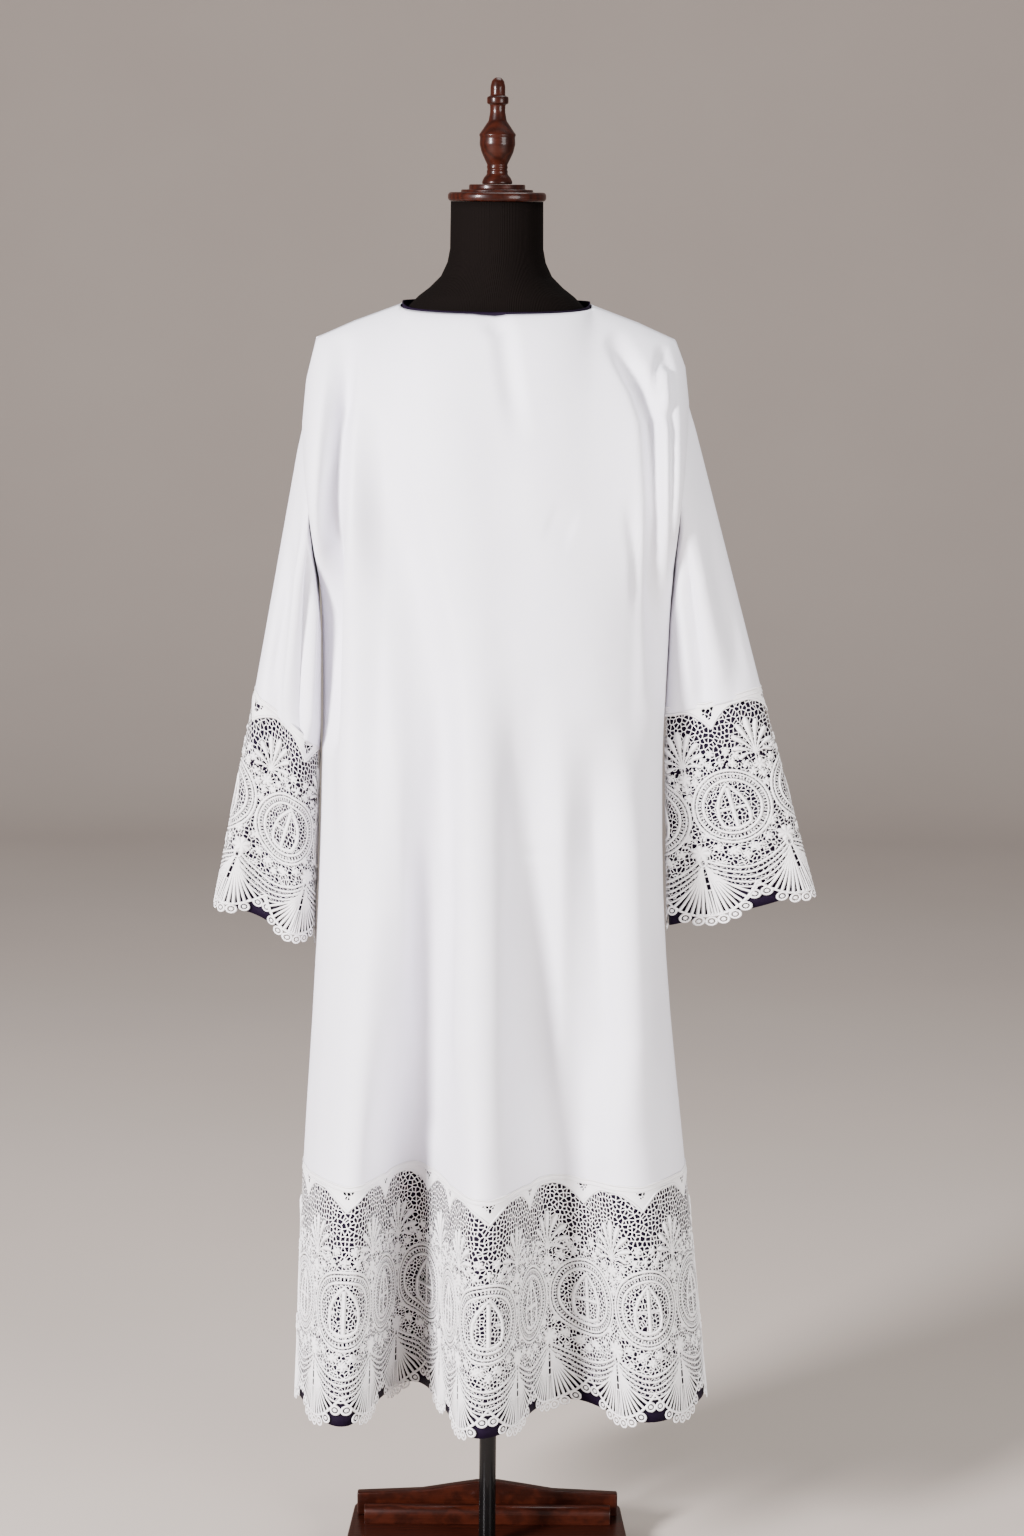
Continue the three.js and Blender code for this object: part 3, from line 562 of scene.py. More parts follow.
# %% Sleeves
SLEEVE_COLUMNS, SLEEVE_LINES = 112, 110
SLEEVE_SEAM = {"creases_over": 0.08, "share": 1 / 18, "inwards": 0.6}
CREASE_ENDS = {"in": 0.25, "out": 0.2, "left": 0.35}
SLEEVE_CREASES = {
    "left": [
        {"around": 0.31, "width": 0.024, "depth": -14, "start": 0.1, "end": 1},
        {"around": 0.24, "width": 0.03, "depth": 9, "start": 0.1, "end": 1},
        {"around": 0.14, "width": 0.03, "depth": -7, "start": 0.3, "end": 0.9},
        {"around": 0.43, "width": 0.035, "depth": 3.5, "start": 0.08, "end": 1},
        {"around": 0.37, "width": 0.025, "depth": 8, "start": 0.05, "end": 1},
        {"around": 0.338, "width": 0.013, "depth": -8, "start": 0.15, "end": 1},
        {"around": 0.475, "width": 0.03, "depth": 2, "start": 0.08, "end": 1},
        {"around": 0.62, "width": 0.04, "depth": -4, "start": 0.1, "end": 1},
        {"around": 0.75, "width": 0.05, "depth": 4, "start": 0.2, "end": 1},
    ],
    "right": [
        {"around": 0.70, "width": 0.03, "depth": -7, "start": 0.1, "end": 1},
        {"around": 0.78, "width": 0.04, "depth": 5, "start": 0.2, "end": 1},
        {"around": 0.89, "width": 0.03, "depth": -4, "start": 0.3, "end": 0.9},
        {"around": 0.57, "width": 0.035, "depth": 3, "start": 0.08, "end": 1},
        {"around": 0.64, "width": 0.03, "depth": 4, "start": 0.05, "end": 1},
        {"around": 0.30, "width": 0.04, "depth": -4, "start": 0.1, "end": 1},
        {"around": 0.20, "width": 0.05, "depth": 3, "start": 0.2, "end": 0.9},
    ],
}


def armhole(hand):
    """The edge that the panels leave, from the shoulder round the front to the underarm and back."""
    rows = np.linspace(0, 1, 90) ** 1.2
    turn = math.pi / 2 - SHORT if hand == "right" else -math.pi / 2 + SHORT
    behind = math.pi / 2 + SHORT if hand == "right" else 1.5 * math.pi - SHORT
    front = upper_points(np.full(rows.shape, turn), rows)
    back = upper_points(np.full(rows.shape, behind), rows)
    ring = np.concatenate([front, back[-2::-1]], 0)
    ring = ring[::-1] if hand == "right" else ring
    lengths = distances(ring)
    wanted = np.linspace(0, lengths[-1], SLEEVE_COLUMNS)
    return np.stack([np.interp(wanted, lengths, ring[:, axis]) for axis in range(3)], -1)


def sleeve_points(hand):
    """The uncreased sleeve's points, the share of the way round of each column, and each row's share."""
    ring = armhole(hand)
    repeats = np.linspace(0, CUFF_REPEATS, SLEEVE_COLUMNS)
    foot = cuff_surface(hand)(repeats, CUFF_TALL[hand] - BEHIND_BAND)
    low = np.clip((SHOULDER[-1]["z"] - ring[:, 2]) / (SHOULDER[-1]["z"] - CHEST), 0, None)
    start = ring.copy()
    start[:, 0] += (1 if hand == "right" else -1) * SLEEVE_SEAM["inwards"] * low ** 3
    rows = np.linspace(0.0005, 1, SLEEVE_LINES)[:, None, None]
    points = mix(start[None], foot[None], rows)
    return points, repeats / CUFF_REPEATS, rows[:, :, 0]


def sleeve(hand):
    points, around, row = sleeve_points(hand)
    normals = normals_of(points, closed=True)
    depth = np.zeros(points.shape[:2])
    for crease in SLEEVE_CREASES[hand]:
        away = np.abs(np.mod(around - crease["around"] + 0.5, 1) - 0.5)
        begun = np.clip((row - crease["start"]) / CREASE_ENDS["in"], 0, 1)
        left = np.clip((crease["end"] - row) / CREASE_ENDS["out"] + CREASE_ENDS["left"], 0, 1)
        depth = depth + crease["depth"] * bell(away[None, :] / crease["width"]) * begun * left
    fade = np.clip(row / SLEEVE_SEAM["creases_over"], 0, 1)
    seam = -SEAM_DEPTH * bell(row / SLEEVE_SEAM["share"])
    points = points + normals * (depth * fade + seam - CLOTH_INSET)[..., None]
    points[:, -1] = points[:, 0]
    return thicken(grid_piece(f"{hand}_sleeve", points, "cloth", closed=True), CLOTH_WALL)


sleeves = {hand: sleeve(hand) for hand in SLEEVES}
print("sleeves:", [len(piece.data.polygons) for piece in sleeves.values()], "faces")

# %% [markdown]
# The neckline is finished inside with a narrow dark violet facing, which stands a little above the
# white edge, most of all at the two corners. It is one closed band that rests on the form.

# %% Neck facing
FACING = {"gap": 0.4, "rise": 1.8, "corner_rise": 1.5, "depth": 9, "cloth": 1.2, "rounded": 3}


def neck_band():
    around = np.linspace(0, 2 * math.pi, 121)
    front = np.cos(around) >= 0
    share = NECK["share"] * np.interp(around, [0, math.pi / 2, math.pi, 1.5 * math.pi, 2 * math.pi], [0, 1, 0, -1, 0])
    edge = top_edge(share, front)
    normal = np.stack([edge[:, 0] / NECK["half"], edge[:, 1] / NECK["front"], np.zeros(len(edge))], -1)
    normal /= np.linalg.norm(normal, axis=1, keepdims=True)
    edge = edge - normal * (FACING["cloth"] + FACING["gap"])
    rise = FACING["rise"] + FACING["corner_rise"] * np.abs(np.sin(around)) ** 12
    heights = mix(rise[None, :], -FACING["depth"], np.linspace(0, 1, 8)[:, None])
    rounded = 0.5 * (1 - np.clip((rise[None, :] - heights) / FACING["rounded"], 0, 1)) ** 2
    points = edge[None] - normal[None] * rounded[..., None]
    points[..., 2] = points[..., 2] + heights
    return points


neck_facing = thicken(grid_piece("neck_facing_band", neck_band(), "lining", closed=True), CLOTH_WALL)
print("facing:", len(neck_facing.data.polygons), "faces")

# %% [markdown]
# The linings hang straight behind the lace, two and a half millimetres in, and end a little above
# its lowest points, so a dark edge shows in the scallops.

# %% Linings
LINING = {"in": 2.5, "top": 14, "edge": 11, "sewn": 0.6, "ripple": 0.35, "ripples": 9.1}


def lining(name, surface, repeats, tall, columns, sewn):
    around = np.linspace(0, repeats, columns + 1)
    top = tall - LINING["top"]
    heights = np.linspace(top, LINING["edge"], 30)[:, None]
    points = surface(around[None, :] * np.ones((30, 1)), heights * np.ones((1, columns + 1)))
    points[:, -1] = points[:, 0]
    up = (heights - LINING["edge"]) / (top - LINING["edge"])
    ripple = LINING["ripple"] * np.sin(around * LINING["ripples"])[None, :] * (1 - up)
    ripple[:, -1] = ripple[:, 0]
    points = points + normals_of(points, closed=True) * (sewn * up - LINING["in"] - np.abs(ripple))[..., None]
    return thicken(grid_piece(name, points, "lining", closed=True), LINING_WALL)


hem_lining = lining("hem_lining_cloth", hem_surface, HEM_REPEATS, LACE_TOP - LACE_FOOT, 360, LINING["sewn"])
cuff_linings = {
    hand: lining(f"{hand}_cuff_lining", cuff_surface(hand), CUFF_REPEATS, CUFF_TALL[hand], 96, 0)
    for hand in SLEEVES
}
print("linings:", 1 + len(cuff_linings))

# %% [markdown]
# ## Lace
# This is guipure, a heavy embroidered lace with no cloth behind its motifs. One repeat has a fan on
# the scalloped edge, a round medallion beside it, a palmette above the fan, and net in between. It
# could be an image with transparency, but from the side that has no body. So the motifs are real
# threads: one repeat is drawn flat with a round pen, as a curve with a radius at each point, and
# then copied along the hem and bent to the cloth. x is the distance from the fan's middle, and y the
# height above the lace's lowest points.

# %% A pen for the lace
strokes = []


def stroke(points, width, closed=False):
    """A thread through flat points. width is one number, or one for each point."""
    points = np.asarray(points, float)
    strokes.append((points, np.broadcast_to(np.asarray(width, float) / 2, len(points)), closed))


def oval(x, y, across, up, width, count=28):
    turn = np.linspace(0, 2 * math.pi, count, endpoint=False)
    stroke(np.stack([x + across * np.sin(turn), y + up * np.cos(turn)], -1), width, closed=True)


def petal(x, y, lean, length, width, bend=0.0):
    """A leaf that starts at a point and widens towards its tip. lean is in degrees from upright."""
    share = np.array([0, 0.25, 0.48, 0.7, 0.88, 1])
    angle = math.radians(lean) + bend * share
    reach = length * share
    widths = width * np.array([0.2, 0.26, 0.45, 0.86, 1, 0.45])
    stroke(np.stack([x + reach * np.sin(angle), y + reach * np.cos(angle)], -1), widths)


def flower(x, y, petals, size, turn=0.0):
    for k in range(petals):
        angle = turn + k * 2 * math.pi / petals
        tip = (x + size * math.sin(angle), y + size * math.cos(angle))
        middle = (x + 0.6 * size * math.sin(angle), y + 0.6 * size * math.cos(angle))
        stroke([(x, y), middle, tip], [size * 0.34, size * 0.76, size * 0.42])


print("the pen is ready")

# %% [markdown]
# The scalloped edge: each fan ends in a lobe with a row of ring eyelets, and the edge rises by a
# third of the repeat between two lobes. Eight eyelets make a repeat. Each is a ring with a filled
# middle, and its outer side gives the edge its small bumps.

# %% Scalloped edge
LOBE = {"rise": 33, "power": 2.2}
EYELETS = 8
EYELET = {"up": 6.4, "radius": 5.0, "width": 2.7, "middle": 1.2}
EDGE_LINE = 13.6


def lobe(x):
    """Height of the lace's edge at a distance from a fan's middle."""
    return LOBE["rise"] * (np.abs(np.asarray(x, float)) / (PITCH / 2)) ** LOBE["power"]


for k in range(EYELETS):
    x = (k + 0.5 - EYELETS / 2) * PITCH / EYELETS
    y = float(lobe(x)) + EYELET["up"]
    oval(x, y, EYELET["radius"], EYELET["radius"], EYELET["width"], 16)
    oval(x, y, EYELET["middle"], EYELET["middle"], 2.6, 8)
edge_x = np.linspace(-PITCH / 2, PITCH / 2, 25)
stroke(np.stack([edge_x, lobe(edge_x) + EDGE_LINE], -1), 2.8)
print("edge threads:", len(strokes))

# %% [markdown]
# The fan: ribs spread from a hub like a shell, with slots between them that are open to the lining.
# They are finest at the hub. The outermost ones bend into swags that hang from fan to fan.

# %% Fan and swags
HUB = 80
RIBS_A_SIDE = 7
RIB_WIDTHS = 3.2 * np.array([0.35, 0.5, 0.66, 0.8, 0.92, 1.02, 1.0])
for rib in range(-RIBS_A_SIDE, RIBS_A_SIDE + 1):
    place = rib / RIBS_A_SIDE
    if rib == 0:
        continue
    end_x = 38 * np.sign(place) * abs(place) ** 0.92
    end_y = float(lobe(end_x)) + 15
    start = (1.2 + 3.2 * abs(place)) * np.sign(place)
    share = np.linspace(0, 1, len(RIB_WIDTHS))
    spread = share ** (1 + 0.25 * abs(place))
    drop = share ** (1 - 0.18 * abs(place))
    x = mix(start, end_x, spread)
    y = mix(HUB - 3 * abs(place), end_y, drop)
    stroke(np.stack([x, y], -1), RIB_WIDTHS)
for side in (-1, 1):
    stroke([(side * 1.6, HUB), (side * 2.4, 66), (side * 2.6, 54), (side * 2.7, 40), (side * 2.8, 15)],
           [1.2, 1.5, 1.5, 1.6, 2.0])
for y, reach in ((66, 2.0), (56, 2.2), (47, 2.4)):
    stroke([(-reach, y), (reach, y)], 1.8)
stroke([(0, 46), (0, 15)], [1.6, 2.6])

SWAGS = [(86, 68, 3.2), (80, 61, 2.8), (75, 54, 2.6), (70, 47, 2.4), (65, 40.5, 2.2)]
for high, low, width in SWAGS:
    x = np.linspace(4, PITCH - 4, 23)
    y = low + (high - low) * (np.abs(x - PITCH / 2) / (PITCH / 2 - 4)) ** 1.7
    stroke(np.stack([x, y], -1), width)
for side in (-1, 1):
    petal(side * 3, 78, side * 150, 15, 4.5, side * -0.3)
oval(0, 84, 3.4, 4.6, 2.8, 12)
flower(0, 97, 7, 10.5)
oval(0, 97, 2.4, 2.4, 1.6, 10)
print("fan and swag threads:", len(strokes))

# %% [markdown]
# The medallion: two outer rings, a band of small rungs like a ladder, an inner ring, and net. Its
# middle has a plain cross under a pointed arch, a shape that church work has used for centuries.

# %% Medallion
MEDALLION = {"x": PITCH / 2, "y": 150, "across": 46.2, "up": 49}
mx, my = MEDALLION["x"], MEDALLION["y"]
RINGS = [{"share": 0.97, "width": 3.4, "sides": 48}, {"share": 0.88, "width": 2.2, "sides": 44},
         {"share": 0.72, "width": 3.4, "sides": 40}]
RUNGS, DOTS = 60, 44


def on_medallion(share, turn):
    """A place at a share of the way out from the medallion's middle, at a turn from its top."""
    return (mx + MEDALLION["across"] * share * math.sin(turn), my + MEDALLION["up"] * share * math.cos(turn))


for ring in RINGS:
    oval(mx, my, MEDALLION["across"] * ring["share"], MEDALLION["up"] * ring["share"], ring["width"], ring["sides"])
for k in range(RUNGS):
    turn = k * 2 * math.pi / RUNGS
    stroke([on_medallion(0.775, turn), on_medallion(0.855, turn)], 1.6)
for k in range(DOTS):
    x, y = on_medallion(0.635, (k + 0.5) * 2 * math.pi / DOTS)
    stroke([(x - 0.5, y), (x + 0.5, y)], 1.8)
arch = [(-15, -24), (-17.5, -12), (-16.5, 1), (-12, 13), (-5.5, 23), (0, 29.5),
        (5.5, 23), (12, 13), (16.5, 1), (17.5, -12), (15, -24), (8, -28), (0, -29.5), (-8, -28)]
stroke([(mx + x, my + y) for x, y in arch], 4.2, closed=True)
stroke([(mx, my + 25), (mx, my - 27)], 4.6)
stroke([(mx - 15, my - 3), (mx + 15, my - 3)], 4.2)
print("with the medallion:", len(strokes))

# %% [markdown]
# The palmette rises above each fan where two medallions meet: nine petals that widen to round tips.
# Small flowers and short curled threads fill the ground on both sides. The curls are placed by a
# seeded generator, so that every run draws the same lace.

# %% Palmette and filling
PALMETTE = 210
PETALS = [(0, 48, 9.6), (-12, 45, 7.6), (12, 45, 7.6), (-26, 38, 7.6), (26, 38, 7.6), (-43, 31, 7.0),
          (43, 31, 7.0), (-62, 23, 5.6), (62, 23, 5.6)]
for lean, length, width in PETALS:
    petal(0, PALMETTE, lean, length, width, bend=math.radians(lean) * 0.55)
for side in (-1, 1):
    stroke([(side * 1.4, PALMETTE + 4), (side * 1.8, PALMETTE - 10)], [1.6, 1.2])
flower(0, PALMETTE - 15, 6, 8.0, 0.3)
FLOWERS = [(0, 182), (0, 170), (-26, 214), (26, 214), (-37, 222), (37, 222), (-17, 200), (17, 200),
           (-33, 206), (33, 206), (-11, 188), (11, 188), (PITCH / 2, 209), (-20, 100), (20, 100),
           (-34, 92), (34, 92), (PITCH / 2, 84), (PITCH / 2 - 9, 93), (PITCH / 2 + 9, 93), (-10, 118), (10, 118)]
CURLS = 62
for k, (x, y) in enumerate(FLOWERS):
    flower(x, y, 5 if k % 3 else 4, 5.4, 0.4 * k)


def in_filling(x, y):
    """True where curled threads fill the ground: clear of medallions, fans, and the net at the top."""
    aside = abs(abs(x) - MEDALLION["x"]) / (MEDALLION["across"] + 2.5)
    above = abs(y - MEDALLION["y"]) / (MEDALLION["up"] + 2.5)
    outside = aside ** 2 + above ** 2 > 1
    swag = SWAGS[0][1] + (SWAGS[0][0] - SWAGS[0][1]) * (max(0, abs(x) - PITCH / 2) / 43) ** 1.7
    swag = max(swag, 70 + 16 * max(0, 1 - abs(x) / 40) ** 1.7)
    return outside and swag + 3 < y < 218


dice = np.random.default_rng(7)
curls = 0
while curls < CURLS:
    x, y = dice.uniform(-PITCH / 2, PITCH / 2), dice.uniform(66, 222)
    if not in_filling(x, y):
        continue
    angle, bend, length = dice.uniform(0, 2 * math.pi), dice.uniform(-2.2, 2.2), dice.uniform(3.5, 6)
    steps = np.linspace(-0.5, 0.5, 4)
    stroke(np.stack([x + length * steps * np.cos(angle + bend * steps),
                     y + length * steps * np.sin(angle + bend * steps)], -1), [1.3, 2.2, 2.1, 1.2])
    curls += 1
print("threads in one repeat:", len(strokes))

# %% [markdown]
# The top of the lace is a dense double band, sewn to the cloth. Above each medallion it dips in a V
# with a small net window. The band hangs from the lace's own top, so it is drawn apart: the cuff
# lace is the same work, cut shorter between palmette and band.

# %% Top band
body_strokes = strokes
strokes = []
band_x = np.linspace(-PITCH / 2, PITCH / 2, 41)


def band_line(x):
    """The band's upper edge, below the top of the lace: an arc from one V to the next."""
    return 1.5 + 2.5 * (np.abs(x) / (PITCH / 2)) ** 3


def v_line(x):
    return band_line(x) + 21 * np.clip(1 - (PITCH / 2 - np.abs(x)) / 36, 0, 1) ** 1.7


for line, drop, width in ((band_line, 0, 2.4), (band_line, 5.2, 1.8), (v_line, 8.5, 3.4)):
    stroke(np.stack([band_x, -drop - line(band_x)], -1), width)
band_strokes = strokes
print("band threads:", len(band_strokes))

# %% [markdown]
# One repeat becomes a mesh here. The pen is a curve with a round bevel, which Blender turns into
# tubes. Each tube is pressed flat to under half its width, as satin stitch lies, by lowering z.

# %% One repeat as a mesh
PRESSED = 0.42
MOTIF_LIFT, NET_LIFT = 0.35, 0.25


def drawn(name, lines):
    """Tubes through the flat lines, as one mesh whose points are bent later."""
    pen = bpy.data.curves.new(name, "CURVE")
    pen.dimensions = "3D"
    pen.twist_mode = "Z_UP"
    pen.bevel_depth = 1
    pen.bevel_resolution = 0
    pen.use_fill_caps = True
    for points, radii, closed in lines:
        line = pen.splines.new("POLY")
        line.points.add(len(points) - 1)
        line.points.foreach_set("co", np.column_stack([points, np.zeros(len(points)), np.ones(len(points))]).ravel())
        line.points.foreach_set("radius", radii)
        line.use_cyclic_u = closed
    holder = bpy.data.objects.new(name, pen)
    bpy.context.scene.collection.objects.link(holder)
    tubes = bpy.data.meshes.new_from_object(holder.evaluated_get(bpy.context.evaluated_depsgraph_get()))
    bpy.data.objects.remove(holder)
    bpy.data.curves.remove(pen)
    return tubes


body_tubes, band_tubes = drawn("lace_body", body_strokes), drawn("lace_band", band_strokes)
print("faces in one repeat:", len(body_tubes.polygons), "and", len(band_tubes.polygons))

# %% [markdown]
# Bending: a copy of the repeat is appended for each fan, and every point's flat place is looked up on
# the garment's surface. Its height above the flat lace is laid along the surface's normal. Lace gives
# a little when it is sewn on: at the front hem it is eased over the folds, and at the cuffs it leans.
# A pair of functions takes a place in the pattern to its place along the cloth, and back again.

# %% Lace on the surface
def place_on(surface, repeat, height, out):
    """Points on a surface, moved out along its normal. repeat, height and out are arrays."""
    here = surface(repeat, height)
    across = surface(repeat + 0.01, height) - surface(repeat - 0.01, height)
    up = surface(repeat, height + 1) - surface(repeat, height - 1)
    normal = np.cross(across, up)
    normal /= np.maximum(np.linalg.norm(normal, axis=-1, keepdims=True), 1e-9)
    return here + normal * out[..., None]


FIRST_FAN = 0.5 / 7
EASED = 0.07
LEANS_ABOUT = 138


def hem_laid(pattern, height):
    """Where a place in the hem's pattern lies along the cloth, in repeats."""
    from_fan = pattern - FIRST_FAN
    fade = np.clip(from_fan / 0.6, 0, 1) * np.clip((8.2 - from_fan) / 0.7, 0, 1)
    return pattern - EASED * np.sin(math.pi * (from_fan - 0.5)) * fade


fine_pattern = np.linspace(-1, HEM_REPEATS + 1, 8001)
fine_laid = hem_laid(fine_pattern, 0)


def hem_pattern(place, height):
    return np.interp(place, fine_laid, fine_pattern)


def cuff_laid(hand):
    return lambda pattern, height: pattern + SLEEVES[hand]["lean"] * (LEANS_ABOUT - height) / PITCH


def cuff_pattern(hand):
    return lambda place, height: place - SLEEVES[hand]["lean"] * (LEANS_ABOUT - height) / PITCH


def motifs(name, surface, laid, fans, tall, short=1.0, half_way=None):
    """Copies of the repeat, one for each fan. half_way is how far round both ways a cuff is cut."""
    work = bmesh.new()
    flats = []
    for fan in fans:
        for tubes, base, scale in ((body_tubes, 0, short), (band_tubes, tall, 1)):
            flat = places_of(tubes)
            work.from_mesh(tubes)
            height = base + flat[:, 1] * scale
            flats.append(np.stack([laid(fan + flat[:, 0] / PITCH, height), height, flat[:, 2] * PRESSED], -1))
    mesh = bpy.data.meshes.new(name)
    work.to_mesh(mesh)
    mesh.vertices.foreach_set("co", np.concatenate(flats).ravel())
    if half_way:
        work.clear()
        work.from_mesh(mesh)
        for way in (-1, 1):
            bmesh.ops.bisect_plane(work, geom=[*work.verts, *work.edges, *work.faces],
                                   plane_co=(way * half_way, 0, 0), plane_no=(way, 0, 0), clear_outer=True)
        work.to_mesh(mesh)
    work.free()
    flats = places_of(mesh)
    move_to(mesh, place_on(surface, flats[:, 0], flats[:, 1], flats[:, 2] + MOTIF_LIFT))
    while mesh.uv_layers:
        mesh.uv_layers.remove(mesh.uv_layers[0])
    keep_cut(mesh, flats[:, :2] * (PITCH, 1))
    return link(name, mesh, "thread")


hem_tall = LACE_TOP - LACE_FOOT
hem_fans = FIRST_FAN + np.arange(HEM_REPEATS)
hem_motifs = {
    side: motifs(f"{side}_hem_motifs", hem_surface, hem_laid, hem_fans[slice(*PANELS[side][2:])], hem_tall)
    for side in PANELS
}
cuff_motifs = {
    hand: motifs(f"{hand}_cuff_motifs", cuff_surface(hand), cuff_laid(hand), SLEEVES[hand]["fans"], CUFF_TALL[hand],
                 SLEEVES[hand]["short"], CUFF_REPEATS / 2)
    for hand in SLEEVES
}
for piece in [*hem_motifs.values(), *cuff_motifs.values()]:
    print(piece.name, len(piece.data.polygons), "faces")

# %% [markdown]
# The net that joins the motifs is too fine to draw thread by thread. It is a thin sheet, and its
# material cuts it into threads by transparency. A painted mask says how closely it is worked: 1 is
# solid stitching, about a third is net, and 0 is open. Where the fans' slots are wider than the net
# the sheet has no faces at all.

# %% Net
NET_STEP = 2.3
FIELD_TOP = 212
WORKED = {"filling": 0.37, "top": 0.34, "swags": 0.27, "rings": 0.22, "medallion": 0.35}
LEAST_WORKED, HIDDEN_BELOW = 0.21, 0.2
CUFF_WINDOW, CUFF_CLOSENESS = (11, 15), 0.82
BAND = {"window_from": 10, "solid_to": 9.5}


def cover(x, y, below_top, window_half, window_tall):
    """How closely the ground is worked, at flat places given from the nearest fan's middle."""
    reach = np.abs(x)
    from_point = PITCH / 2 - reach
    under_band = below_top - BAND["window_from"]
    window = (under_band > 0) & (from_point < window_half * (1 - under_band / window_tall))
    round_place = ((reach - mx) / MEDALLION["across"]) ** 2 + ((y - my) / MEDALLION["up"]) ** 2
    hang = (np.clip(PITCH / 2 - reach, 0, None) / (PITCH / 2 - 4)) ** 1.7
    low_swag, high_swag = mix(SWAGS[-1][1], SWAGS[-1][0], hang), mix(SWAGS[0][1], SWAGS[0][0], hang)
    edge = lobe(reach) + EDGE_LINE + 0.9
    work = np.full(np.shape(x), WORKED["filling"])
    work = np.where(y > FIELD_TOP + 2, WORKED["top"], work)
    work = np.where(y < high_swag, WORKED["swags"], work)
    work = np.where((round_place < 0.95) & (round_place > 0.5), WORKED["rings"], work)
    work = np.where(round_place <= 0.5, WORKED["medallion"], work)
    work = np.where((y < low_swag) & (y > edge), 0, work)
    work = np.where(y < edge, 1, work)
    return np.where((below_top < BAND["solid_to"] + v_line(reach)) & ~window, 1, work)


def net(name, surface, pattern, repeats, first_fan, tall, short=1.0, window=(7.5, 10), closeness=1.0):
    """The sheet between two places along a surface. repeats is (start, end), and window is the half
    width and the height of the opening under the band. Less closeness opens the net's holes."""
    columns = int((repeats[1] - repeats[0]) * PITCH / NET_STEP) + 1
    rows = int(tall / NET_STEP) + 1
    around = np.linspace(*repeats, columns)[None, :] * np.ones((rows, 1))

    def aside(height):
        shift = pattern(around, height) - first_fan
        return (shift - np.rint(shift)) * PITCH

    low = short * (lobe(aside(15)) + 12)
    high = tall - band_line(aside(tall - 5)) + 1
    height = mix(low, high, np.linspace(1, 0, rows)[:, None])
    work = cover(aside(height), height / short, tall - height, *window)
    work = np.where((work > 0.01) & (work < 1), np.maximum(work * closeness, LEAST_WORKED), work)
    points = place_on(surface, around, height, np.full(around.shape, NET_LIFT))
    field = np.clip((FIELD_TOP * short - height) / 10, 0, 1)
    cut = np.stack([around * PITCH, height], -1)
    return grid_piece(name, points, "net", cut=cut, masks={"work": work, "field": field}, keep=work > 0.01)


hem_nets = {
    side: net(f"{side}_hem_net", hem_surface, hem_pattern, PANELS[side][2:], FIRST_FAN, hem_tall)
    for side in PANELS
}
cuff_nets = {
    hand: net(f"{hand}_cuff_net", cuff_surface(hand), cuff_pattern(hand), (-CUFF_REPEATS / 2, CUFF_REPEATS / 2),
              SLEEVES[hand]["fans"][0], CUFF_TALL[hand], SLEEVES[hand]["short"], CUFF_WINDOW, CUFF_CLOSENESS)
    for hand in SLEEVES
}
print("net sheets:", [len(piece.data.polygons) for piece in [*hem_nets.values(), *cuff_nets.values()]])

# %% [markdown]
# ## The dress form and its stand
# The form is a smooth bust without limbs in black jersey. One circle of edges is extruded from ring
# to ring, and each new ring is scaled and moved to its row of the table.

# %% Form
FORM = [
    {"z": 820, "x": 140, "y": 56},
    {"z": 870, "x": 152, "y": 66},
    {"z": 980, "x": 150, "y": 86},
    {"z": 1120, "x": 132, "y": 88},
    {"z": 1300, "x": 168, "y": 98},
    {"z": 1450, "x": 178, "y": 86},
    {"z": 1512, "x": 160, "y": 70},
    {"z": 1540, "x": 130, "y": 60},
    {"z": 1557.4, "x": 108, "y": 57},
    {"z": 1562, "x": 105.5, "y": 57},
    {"z": 1567, "x": 101, "y": 57},
    {"z": 1577, "x": 91, "y": 56.5},
    {"z": 1587, "x": 78, "y": 55},
    {"z": 1600, "x": 65, "y": 53},
    {"z": 1616, "x": 57.5, "y": 51},
    {"z": 1632, "x": 54.5, "y": 50},
    {"z": 1686.4, "x": 54, "y": 50},
]
RINGS_A_ROW = 5


def form_bust():
    rows = [row["z"] for row in reversed(FORM)]
    spans = zip(rows[:-1], rows[1:])
    heights = [z for a, b in spans for z in np.linspace(a, b, RINGS_A_ROW, endpoint=False)] + [rows[-1]]
    top = FORM[-1]
    bust = bmesh.new()
    ring = bmesh.ops.create_circle(bust, cap_ends=False, segments=72, radius=1)["verts"]
    bmesh.ops.scale(bust, vec=(top["x"] * MM, top["y"] * MM, 1), verts=ring)
    bmesh.ops.translate(bust, vec=(0, 0, heights[0] * MM), verts=ring)
    edges = list(bust.edges)
    caps = [list(bust.edges)]
    half = [top["x"], top["y"]]
    for above, z in zip(heights[:-1], heights[1:]):
        sizes = [column(FORM, "z", z, axis) for axis in ("x", "y")]
        grown = bmesh.ops.extrude_edge_only(bust, edges=edges)["geom"]
        ring = verts_of(grown)
        edges = [item for item in grown if isinstance(item, bmesh.types.BMEdge)]
        bmesh.ops.scale(bust, vec=(sizes[0] / half[0], sizes[1] / half[1], 1), verts=ring)
        bmesh.ops.translate(bust, vec=(0, 0, (z - above) * MM), verts=ring)
        half = sizes
    caps.append(edges)
    for cap in caps:
        bmesh.ops.contextual_create(bust, geom=cap)
    return made("bust", bust, "jersey")


bust = form_bust()
print("bust:", len(bust.data.polygons), "faces")

# %% [markdown]
# The cap, the finial, the pole and its collar were turned on a lathe, so each is a profile spun round
# the axis. Cutting the corners of the profile twice rounds the edges as sanding and polish do.

